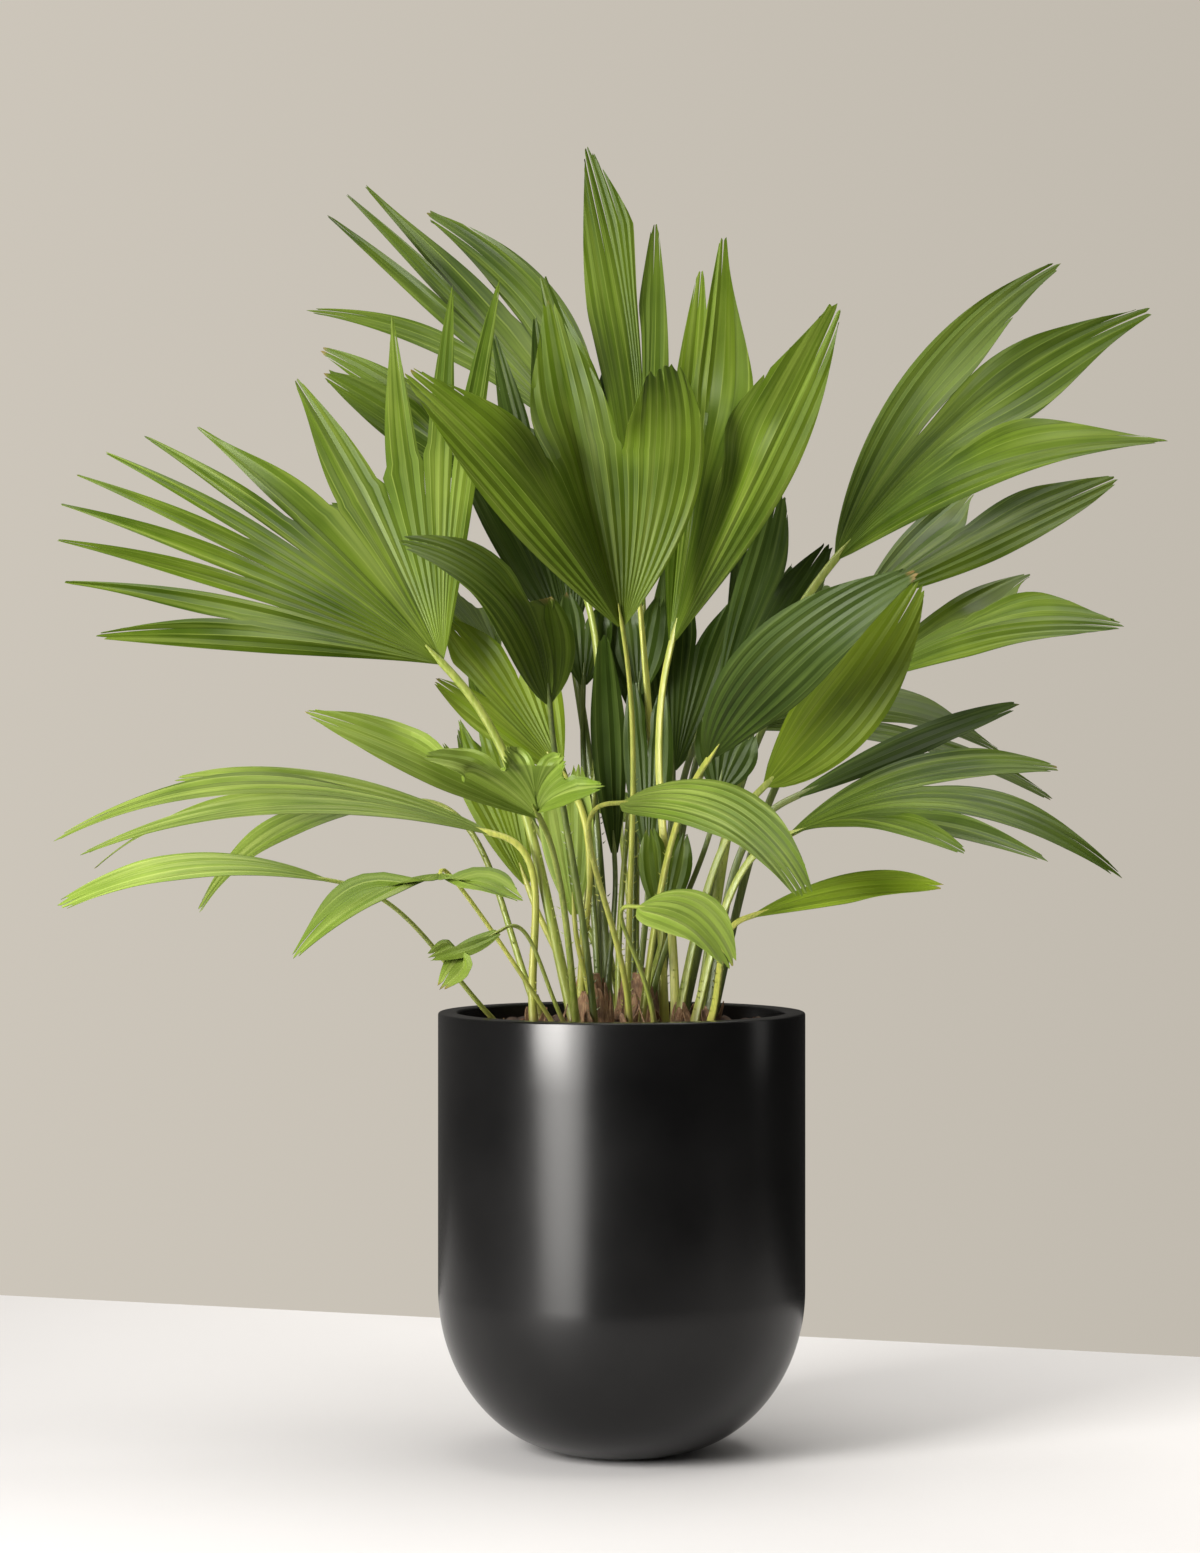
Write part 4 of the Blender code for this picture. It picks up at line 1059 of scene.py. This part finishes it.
def stalkFinish(name, look):
    material, tree, shader = newFinish(name, look["base"], 0.42)
    place = ownPlace(tree)
    fibres = fibrous(tree, place, 420.0, 9.0)
    patches = noise(tree, place, 22.0)
    streak = rgba(look["streak"])
    colour = mixed(tree, ramped(tree, fibres, 0.42, 0.66, 0.0, 0.75), rgba(look["base"]), streak)
    colour = mixed(tree, ramped(tree, patches, 0.5, 0.72, 0.0, 0.6), colour, streak)
    nearSoil = ramped(tree, parted(tree, place)[2], 0.418, 0.445, 0.85, 0.0, True)
    colour = mixed(tree, times(tree, nearSoil, ramped(tree, patches, 0.35, 0.6)), colour, rgba(earthStain))
    coat(tree, shader, colour, ramped(tree, fibres, 0.3, 0.7, 0.34, 0.5), fibres, 0.3, 0.0005)
    return material


def growStalks():
    tree = stalkTree()
    for tone, look in stalkTones.items():
        curve = bpy.data.curves.new("routes_" + tone, "CURVE")
        curve.dimensions = "3D"
        for number in look["numbers"]:
            places, radii = stalkRoute(allFronds[number - 1])
            line = curve.splines.new("POLY")
            line.points.add(len(places) - 1)
            for point, p, r in zip(line.points, places, radii):
                point.co = (*p, 1)
                point.radius = r
        sizes = {
            "Groove": stalk["groove"],
            "Thorn step": stalk["thornStep"],
            "Thorn length": stalk["thornLength"],
            "Thorn share": stalk["thornShare"],
            "Seed": stalk["seed"],
            "Finish": stalkFinish(f"stalk skin, {tone}", look),
        }
        piece = grown(shown("routes_" + tone, curve), tree, sizes, f"stalks_{tone}")
        settle(piece, "stalk", *[solidOf("stalk", number) for number in look["numbers"]])
        print(f"{piece.name}: {len(look['numbers'])} stalks, {triangles(piece)} triangles")


# the planter

planter = {
    "radius": 0.178,
    "height": 0.426,
    "wall": 0.019,
    "foot": 0.040,
    "cornerHeight": 0.158,    # where the straight wall starts to turn in
    "straight": 0.265,        # how far the rings of the straight wall are spread above that
    "floor": 0.024,
    "hollowFoot": 0.7,        # the flat inside, as a share of the foot
    "rimRound": 0.0025,
    "steps": 160,
    "paint": (0.0026, 0.0026, 0.0027),
    "dust": (0.0065, 0.0064, 0.0064),
    # the rim's top colour: dust, and partly a painted highlight
    "rimDustAndHighlight": (0.05, 0.047, 0.043),
}


def quarter(radiusFoot, radiusWall, bottom, top, steps):
    angles = [math.pi / 2 * i / steps for i in range(1, steps + 1)]
    wide, tall = radiusWall - radiusFoot, top - bottom
    return [(radiusFoot + wide * math.cos(a), top - tall * math.sin(a)) for a in angles]


def roundedRim(outer, inner, top, r, steps=5):
    angles = [math.pi / 2 * i / steps for i in range(steps + 1)]
    inside = [(inner + r - r * math.cos(a), top - r + r * math.sin(a)) for a in angles]
    angles = [math.pi / 2 * (1 - i / steps) for i in range(steps + 1)]
    return inside + [(outer - r + r * math.cos(a), top - r + r * math.sin(a)) for a in angles]


def lathe(name, profile, steps):
    # turns (radius, height) points about Z into a closed mesh
    shape = bmesh.new()
    turns = [2 * math.pi * i / steps for i in range(steps)]
    rings = []
    for r, z in profile:
        places = [(r * math.cos(a), r * math.sin(a), z) for a in turns] if r > 1e-6 else [(0, 0, z)]
        rings.append([shape.verts.new(place) for place in places])
    for low, high in zip(rings, rings[1:]):
        for i in range(steps):
            j = i + 1
            ring = [low[i % len(low)], low[j % len(low)], high[j % len(high)], high[i % len(high)]]
            corners = list(dict.fromkeys(ring))
            if len(corners) > 2:
                shape.faces.new(corners)
    bmesh.ops.recalc_face_normals(shape, faces=shape.faces)
    mesh = bpy.data.meshes.new(name)
    shape.to_mesh(mesh)
    shape.free()
    mesh.shade_smooth()
    return mesh


def paintFinish():
    material, tree, shader = newFinish("satin black paint", planter["paint"], 0.27)
    place = ownPlace(tree)
    cloud = noise(tree, place, 7.0, 4.0)
    colour = mixed(tree, ramped(tree, cloud, 0.35, 0.7), rgba(planter["paint"]), rgba(planter["dust"]))
    # the top of the rim is lighter: partly dust settled on it, partly a painted highlight where the rim
    # catches the light
    onRim = ramped(tree, parted(tree, place)[2], 0.4255, 0.4262, 0.0, 0.5)
    rimDustAndHighlightShare = times(tree, onRim, ramped(tree, cloud, 0.3, 0.7, 0.4, 1.0))
    colour = mixed(tree, rimDustAndHighlightShare, colour, rgba(planter["rimDustAndHighlight"]))
    grain = noise(tree, place, 900.0, 2.0)
    coat(tree, shader, colour, ramped(tree, cloud, 0.3, 0.7, 0.22, 0.25), grain, 0.12, 0.0003)
    shader.inputs["Specular IOR Level"].default_value = 0.3
    return material


def makePlanter():
    radius, foot, corner = planter["radius"], planter["foot"], planter["cornerHeight"]
    inner = radius - planter["wall"]
    outside = [(0.0, 0.0), *reversed(quarter(foot, radius, 0.0, corner, 40))]
    wall = [(radius, corner + planter["straight"] * i / 4) for i in range(4)]
    rim = reversed(roundedRim(radius, inner, planter["height"], planter["rimRound"]))
    inside = quarter(foot * planter["hollowFoot"], inner, planter["floor"], corner, 12)
    profile = [*outside, *wall, *rim, (inner, corner), *inside, (0.0, planter["floor"])]
    mesh = lathe("planter", profile, planter["steps"])
    mesh.materials.append(paintFinish())
    settle(shown("planter", mesh), "pot", "pot")
    print("planter turned:", len(mesh.polygons), "faces")


# the potting mix and its bark chips

bed = {
    "radius": 0.1582,
    "top": 0.411,
    "depth": 0.05,
    "relief": 0.004,
    "waves": 14,
    "edgeFade": 0.006,        # how near the pot's wall the bumps die away
    "rings": 46,
    "steps": 120,
    "soil": (0.045, 0.024, 0.013),
    "chipDensity": 11000.0,   # bark chips to a square metre
    "chipLength": 0.0085,
    "seed": 3,
}
# each tone's part of the chips, and its own seed
barkTones = {
    "brown": {"base": (0.070, 0.034, 0.017), "part": 1.0, "seed": 3},
    "red": {"base": (0.125, 0.055, 0.026), "part": 0.55, "seed": 8},
    "black": {"base": (0.022, 0.013, 0.009), "part": 0.9, "seed": 14},
}


def barkFinish(name, base):
    material, tree, shader = newFinish(name, base, 0.9)
    place = ownPlace(tree)
    crumbs = noise(tree, place, 260.0, 4.0, 0.65)
    patches = noise(tree, place, 40.0)
    colour = mixed(tree, ramped(tree, crumbs, 0.35, 0.7), rgba(base, 0.4), rgba(base, 1.9))
    colour = mixed(tree, ramped(tree, patches, 0.45, 0.7, 0.0, 0.6), colour, rgba(base))
    coat(tree, shader, colour, ramped(tree, crumbs, 0.3, 0.7, 0.78, 0.97), crumbs, 0.7, 0.0015)
    return material


def chipTree():
    # scatters split chips of bark over the mix
    sizes = {"Density": 5000.0, "Chip length": 0.008, "Lowest": 0.4, "Seed": 3}
    tree, given, result = newTree("barkChips", sizes)
    spots = geo(tree, "DistributePointsOnFaces", {
        "Mesh": given["Geometry"],
        "Selection": over(tree, parted(tree, geo(tree, "InputPosition"))[2], given["Lowest"]),
        "Density": given["Density"],
        "Seed": given["Seed"],
    }, distribute_method="RANDOM")
    ball = geo(tree, "MeshIcoSphere", {"Radius": 0.5, "Subdivisions": 1})
    squared = vectorMaths(tree, "SNAP", geo(tree, "InputPosition"), (0.22, 0.3, 0.34))
    turn = rolled(tree, (-0.7, -0.7, 0.0), (0.7, 0.7, 6.283), given["Seed"], "FLOAT_VECTOR")
    nextSeed = maths(tree, "ADD", given["Seed"], 1.0)
    stretch = rolled(tree, (0.35, 0.25, 0.14), (1.25, 0.7, 0.42), nextSeed, "FLOAT_VECTOR")
    chips = geo(tree, "InstanceOnPoints", {
        "Points": spots,
        "Instance": geo(tree, "SetPosition", {"Geometry": ball, "Position": squared}),
        "Rotation": addNode(tree, "FunctionNodeEulerToRotation", {"Euler": turn}).outputs[0],
        "Scale": scaled(tree, stretch, given["Chip length"]),
    })
    real = geo(tree, "RealizeInstances", {"Geometry": chips})
    welded = geo(tree, "MergeByDistance", {"Geometry": real, "Distance": 0.00001})
    return closeTree(tree, welded, given, result)


def makeBed():
    rng = random.Random(bed["seed"])
    radius, top = bed["radius"], bed["top"]
    limits = ((0.1, 0.3), (-220, 220), (-220, 220), (0, 6.3))     # height, turning along X and Y, start
    waves = [[rng.uniform(*pair) for pair in limits] for _ in range(bed["waves"])]
    profile = [(radius * (i / bed["rings"]), top) for i in range(bed["rings"] + 1)]
    profile += [(radius, top - bed["depth"]), (0.0, top - bed["depth"])]
    mesh = lathe("potting_mix", profile, bed["steps"])
    for v in mesh.vertices:
        if v.co.z > top - 0.001:
            bumps = sum(tall * math.sin(v.co.x * a + v.co.y * b + begin) for tall, a, b, begin in waves)
            v.co.z += bed["relief"] * bumps * min(1.0, (radius - v.co.xy.length) / bed["edgeFade"])
    mesh.materials.append(barkFinish("potting mix", bed["soil"]))
    mix = settle(shown("potting_mix", mesh), "soil", "soil")
    tree = chipTree()
    parts = sum(look["part"] for look in barkTones.values())
    for tone, look in barkTones.items():
        sizes = {
            "Density": bed["chipDensity"] * look["part"] / parts,
            "Chip length": bed["chipLength"],
            "Lowest": top - 0.01,
            "Seed": look["seed"],
            "Finish": barkFinish(f"bark, {tone}", look["base"]),
        }
        ground = shown("ground_" + tone, bpy.data.meshes.new_from_object(mix))
        chips = settle(grown(ground, tree, sizes, f"bark_{tone}"), "soil")
        print(f"{chips.name}: {len(chips.data.polygons)} faces")


# the sheaths that the back and the grouped stalks grow from, and the dry husks round every stalk's foot

sheaths = {
    "back": ((1.8, 9.8), 3.0),    # the back one's place and its radius at the soil, in centimetres
    "height": 0.05,
    "foot": 0.94,             # the radius at the soil as a share of the solid's, and the one at the top
    "taper": 0.4,
    "sunk": 0.004,
    "huskLength": 0.03,
    "huskRadius": 0.0068,     # how far from the stalk's middle a husk stands
    "wrap": 2.0,              # how far round it goes, in radians
    "huskThickness": 0.0006,
    "perStalk": 2,
    "perSheath": 13,
    "ring": (0.62, 0.76),     # where a sheath's husks stand, as shares of its radius, and their lean and size
    "ringLean": -0.3,
    "ringWide": 1.25,
    "ringTall": (1.0, 1.75),
    "dry": (0.155, 0.070, 0.028),
    "pale": (0.36, 0.235, 0.12),
    "seed": 21,
}


def huskFinish():
    material, tree, shader = newFinish("dry husk", sheaths["dry"], 0.8)
    place = ownPlace(tree)
    fibres = fibrous(tree, place, 900.0, 40.0)
    colour = mixed(tree, ramped(tree, fibres, 0.42, 0.68), rgba(sheaths["dry"]), rgba(sheaths["pale"]))
    stains = ramped(tree, noise(tree, place, 60.0), 0.45, 0.65, 0.0, 0.8)
    colour = mixed(tree, stains, colour, rgba(sheaths["dry"], 0.3))
    coat(tree, shader, colour, ramped(tree, fibres, 0.3, 0.7, 0.7, 0.92), fibres, 0.6, 0.0006)
    return material


def huskTree():
    # sets curled strips that taper to a point at the points it is given, turned and sized as they say
    sizes = {"Length": 0.03, "Radius": 0.007, "Wrap": 2.0, "Thickness": 0.0006}
    tree, given, result = newTree("husks", sizes)
    grid = geo(tree, "MeshGrid", {"Size X": 2.0, "Size Y": 1.0, "Vertices X": 7, "Vertices Y": 9})
    across, up, _ = parted(tree, geo(tree, "InputPosition"))
    up = maths(tree, "ADD", up, 0.5)
    narrow = maths(tree, "POWER", maths(tree, "SUBTRACT", 1.03, up), 0.7)
    angle = times(tree, times(tree, across, narrow), times(tree, given["Wrap"], 0.5))
    reach = times(tree, given["Radius"], ramped(tree, up, 0.0, 1.0, 1.0, 1.6, True))
    x = times(tree, maths(tree, "COSINE", angle), reach)
    y = times(tree, maths(tree, "SINE", angle), reach)
    curled = combined(tree, x, y, times(tree, up, given["Length"]))
    strip = geo(tree, "SetPosition", {"Geometry": grid, "Position": curled})
    turn = stored(tree, "turn", "FLOAT_VECTOR")
    husks = geo(tree, "InstanceOnPoints", {
        "Points": given["Geometry"],
        "Instance": thickened(tree, strip, given["Thickness"]),
        "Rotation": addNode(tree, "FunctionNodeEulerToRotation", {"Euler": turn}).outputs[0],
        "Scale": stored(tree, "size", "FLOAT_VECTOR"),
    })
    return closeTree(tree, husks, given, result)


def makeSheaths():
    rng = random.Random(sheaths["seed"])
    finish = huskFinish()
    ground = stalk["soilTop"]
    spots, turns, scales = [], [], []

    def husk(x, y, turn, lean, wide, tall):
        spots.append((x, y, ground - sheaths["sunk"]))
        turns.append((0.0, lean, turn))
        scales.append((wide, wide, tall))

    shape = bmesh.new()
    groups = [(place, radius) for place, radius, _ in groupedFronds.values()]
    for (across, depth), radius in (sheaths["back"], *groups):
        x, y, r = 0.01 * across, 0.01 * depth, 0.01 * radius
        made = bmesh.ops.create_cone(
            shape, cap_ends=True, segments=40, radius1=r * sheaths["foot"], radius2=r * sheaths["taper"],
            depth=sheaths["height"],
        )
        bmesh.ops.translate(shape, verts=made["verts"], vec=(x, y, ground + sheaths["height"] / 2))
        for i in range(sheaths["perSheath"]):
            turn = 2 * math.pi * (i + rng.uniform(-0.3, 0.3)) / sheaths["perSheath"]
            out = r * rng.uniform(*sheaths["ring"])
            tall = rng.uniform(*sheaths["ringTall"])
            spot = (x + out * math.cos(turn), y + out * math.sin(turn))
            husk(*spot, turn, sheaths["ringLean"], sheaths["ringWide"], tall)
    mesh = bpy.data.meshes.new("sheath_cones")
    shape.to_mesh(mesh)
    shape.free()
    mesh.materials.append(finish)
    settle(shown("sheath_cones", mesh), "soil", "stalks_back", *groupedFronds)
    for leaf in fronds:
        x, y = (0.01 * c for c in leaf["foot"])
        for _ in range(sheaths["perStalk"]):
            wide = rng.uniform(0.8, 1.0) * (0.45 + 1.2 * leaf["stalk"][0])
            husk(x, y, rng.uniform(0, 2 * math.pi), rng.uniform(0.0, 0.22), wide, rng.uniform(0.35, 1.15))
    points = bpy.data.meshes.new("husk_places")
    points.from_pydata(spots, [], [])
    for name, values in (("turn", turns), ("size", scales)):
        layer = points.attributes.new(name, "FLOAT_VECTOR", "POINT")
        layer.data.foreach_set("vector", np.array(values, np.float32).ravel())
    sizes = {
        "Length": sheaths["huskLength"],
        "Radius": sheaths["huskRadius"],
        "Wrap": sheaths["wrap"],
        "Thickness": sheaths["huskThickness"],
        "Finish": finish,
    }
    piece = settle(grown(shown("husk_places", points), huskTree(), sizes, "husks"), "soil")
    print(f"{piece.name}: {len(spots)} husks, {triangles(piece)} triangles")


# camera, floor and light

studio = {
    "lens": 88.41,
    "floorFar": ((-0.778, 1.11), (0.655, 0.597)),    # two points of the floor's far edge
    "floorNear": -0.95,
    "floorSide": 1.6,
    "floorColour": (0.80, 0.79, 0.79),
    "floorDim": (0.50, 0.495, 0.50),      # towards the key light, so that the floor looks even
    "wallColour": (0.605, 0.56, 0.49),
    "wallShade": (0.535, 0.495, 0.43),
    "roomTint": (1.0, 0.96, 0.9),
    "dimLight": 0.03,          # what the dark side of the room sends back
    "wallLight": 0.14,         # the pale side, behind the plant and to its left
    "ceilingLight": 0.55,
    "lampColour": (1.0, 0.975, 0.94),
    "gleamSpread": 50,         # degrees
}
# the gleam is seen only as a sheen, low on the planter
lamps = {
    "key": {"place": (-1.40, -1.50, 1.04), "aim": (0.0, 0.0, 0.82), "size": (0.80, 1.30), "power": 84.0},
    "top": {"place": (0.35, 0.1, 2.75), "aim": (0.0, 0.0, 0.7), "size": (2.4, 2.2), "power": 64.0},
    "side": {"place": (2.4, 0.1, 1.0), "aim": (0.0, 0.0, 0.7), "size": (0.5, 1.4), "power": 2.5},
    "gleam": {"place": (-1.22, -1.65, 0.55), "aim": (0.0, 0.0, 0.25), "size": (1.1, 1.5), "power": 8.0},
}


def hangLamp(name, place, aim, size, power):
    light = bpy.data.lights.new(name + "Light", "AREA")
    light.shape = "RECTANGLE"
    light.size, light.size_y = size
    light.energy = power
    light.color = studio["lampColour"]
    holder = shown(name + "Light", light)
    holder.location = place
    holder.rotation_euler = (Vector(aim) - Vector(place)).to_track_quat("-Z", "Y").to_euler()
    holder.visible_camera = False
    if name == "gleam":
        light.spread = math.radians(studio["gleamSpread"])
        holder.visible_diffuse = False


def makeCamera():
    camera = bpy.data.cameras.new("camera")
    camera.lens = studio["lens"]
    camera.sensor_width = 36.0
    camera.clip_end = 60.0
    holder = shown("camera", camera)
    holder.location = tuple(eyePlace)
    holder.rotation_euler = (math.pi / 2, 0.0, 0.0)
    bpy.context.scene.camera = holder


def makeFloor():
    (x1, y1), (x2, y2) = studio["floorFar"]
    slope = (y2 - y1) / (x2 - x1)
    side, near = studio["floorSide"], studio["floorNear"]
    farRight = (side, y1 + slope * (side - x1), 0)
    farLeft = (-side, y1 - slope * (side + x1), 0)
    mesh = bpy.data.meshes.new("floor")
    mesh.from_pydata([(-side, near, 0), (side, near, 0), farRight, farLeft], [], [(0, 1, 2, 3)])
    material, tree, shader = newFinish("pale floor", studio["floorColour"], 0.6)
    place = ownPlace(tree)
    leftward = vectorMaths(tree, "DOT_PRODUCT", place, (-0.7, -0.7, 0.0))
    cloud = maths(tree, "MULTIPLY_ADD", noise(tree, place, 3.0), 0.1, leftward)
    dimmed = ramped(tree, cloud, -0.35, 0.85)
    colour = mixed(tree, dimmed, rgba(studio["floorColour"]), rgba(studio["floorDim"]))
    tree.links.new(colour, shader.inputs["Base Color"])
    mesh.materials.append(material)
    shown("floor", mesh)


def makeRoom():
    # the camera sees an even pale wall; the plant is lit by a dim room with that wall behind it
    world = bpy.data.worlds.new("studio")
    world.use_nodes = True
    tree = world.node_tree
    toWhere = addNode(tree, "ShaderNodeTexCoord").outputs["Generated"]
    x, _, z = parted(tree, toWhere)
    wall = mixed(tree, ramped(tree, x, -0.16, 0.16), rgba(studio["wallColour"]), rgba(studio["wallShade"]))
    behind = vectorMaths(tree, "DOT_PRODUCT", toWhere, (-0.75, 0.66, 0.0))
    light = ramped(tree, behind, 0.45, 0.95, studio["dimLight"], studio["wallLight"], True)
    light = maths(tree, "ADD", light, ramped(tree, z, 0.25, 0.9, 0.0, studio["ceilingLight"], True))
    glow = colourOf(tree, *[times(tree, light, tint) for tint in studio["roomTint"]])
    direct = addNode(tree, "ShaderNodeLightPath").outputs["Is Camera Ray"]
    tree.links.new(mixed(tree, direct, glow, wall), tree.nodes["Background"].inputs[0])
    bpy.context.scene.world = world


makeCamera()
makeFloor()
makeRoom()
for name, lamp in lamps.items():
    hangLamp(name, **lamp)
bpy.context.scene.view_settings.view_transform = "Standard"
print("studio set")
makePlanter()
makeBed()
makeSheaths()
growStalks()
growBlades()
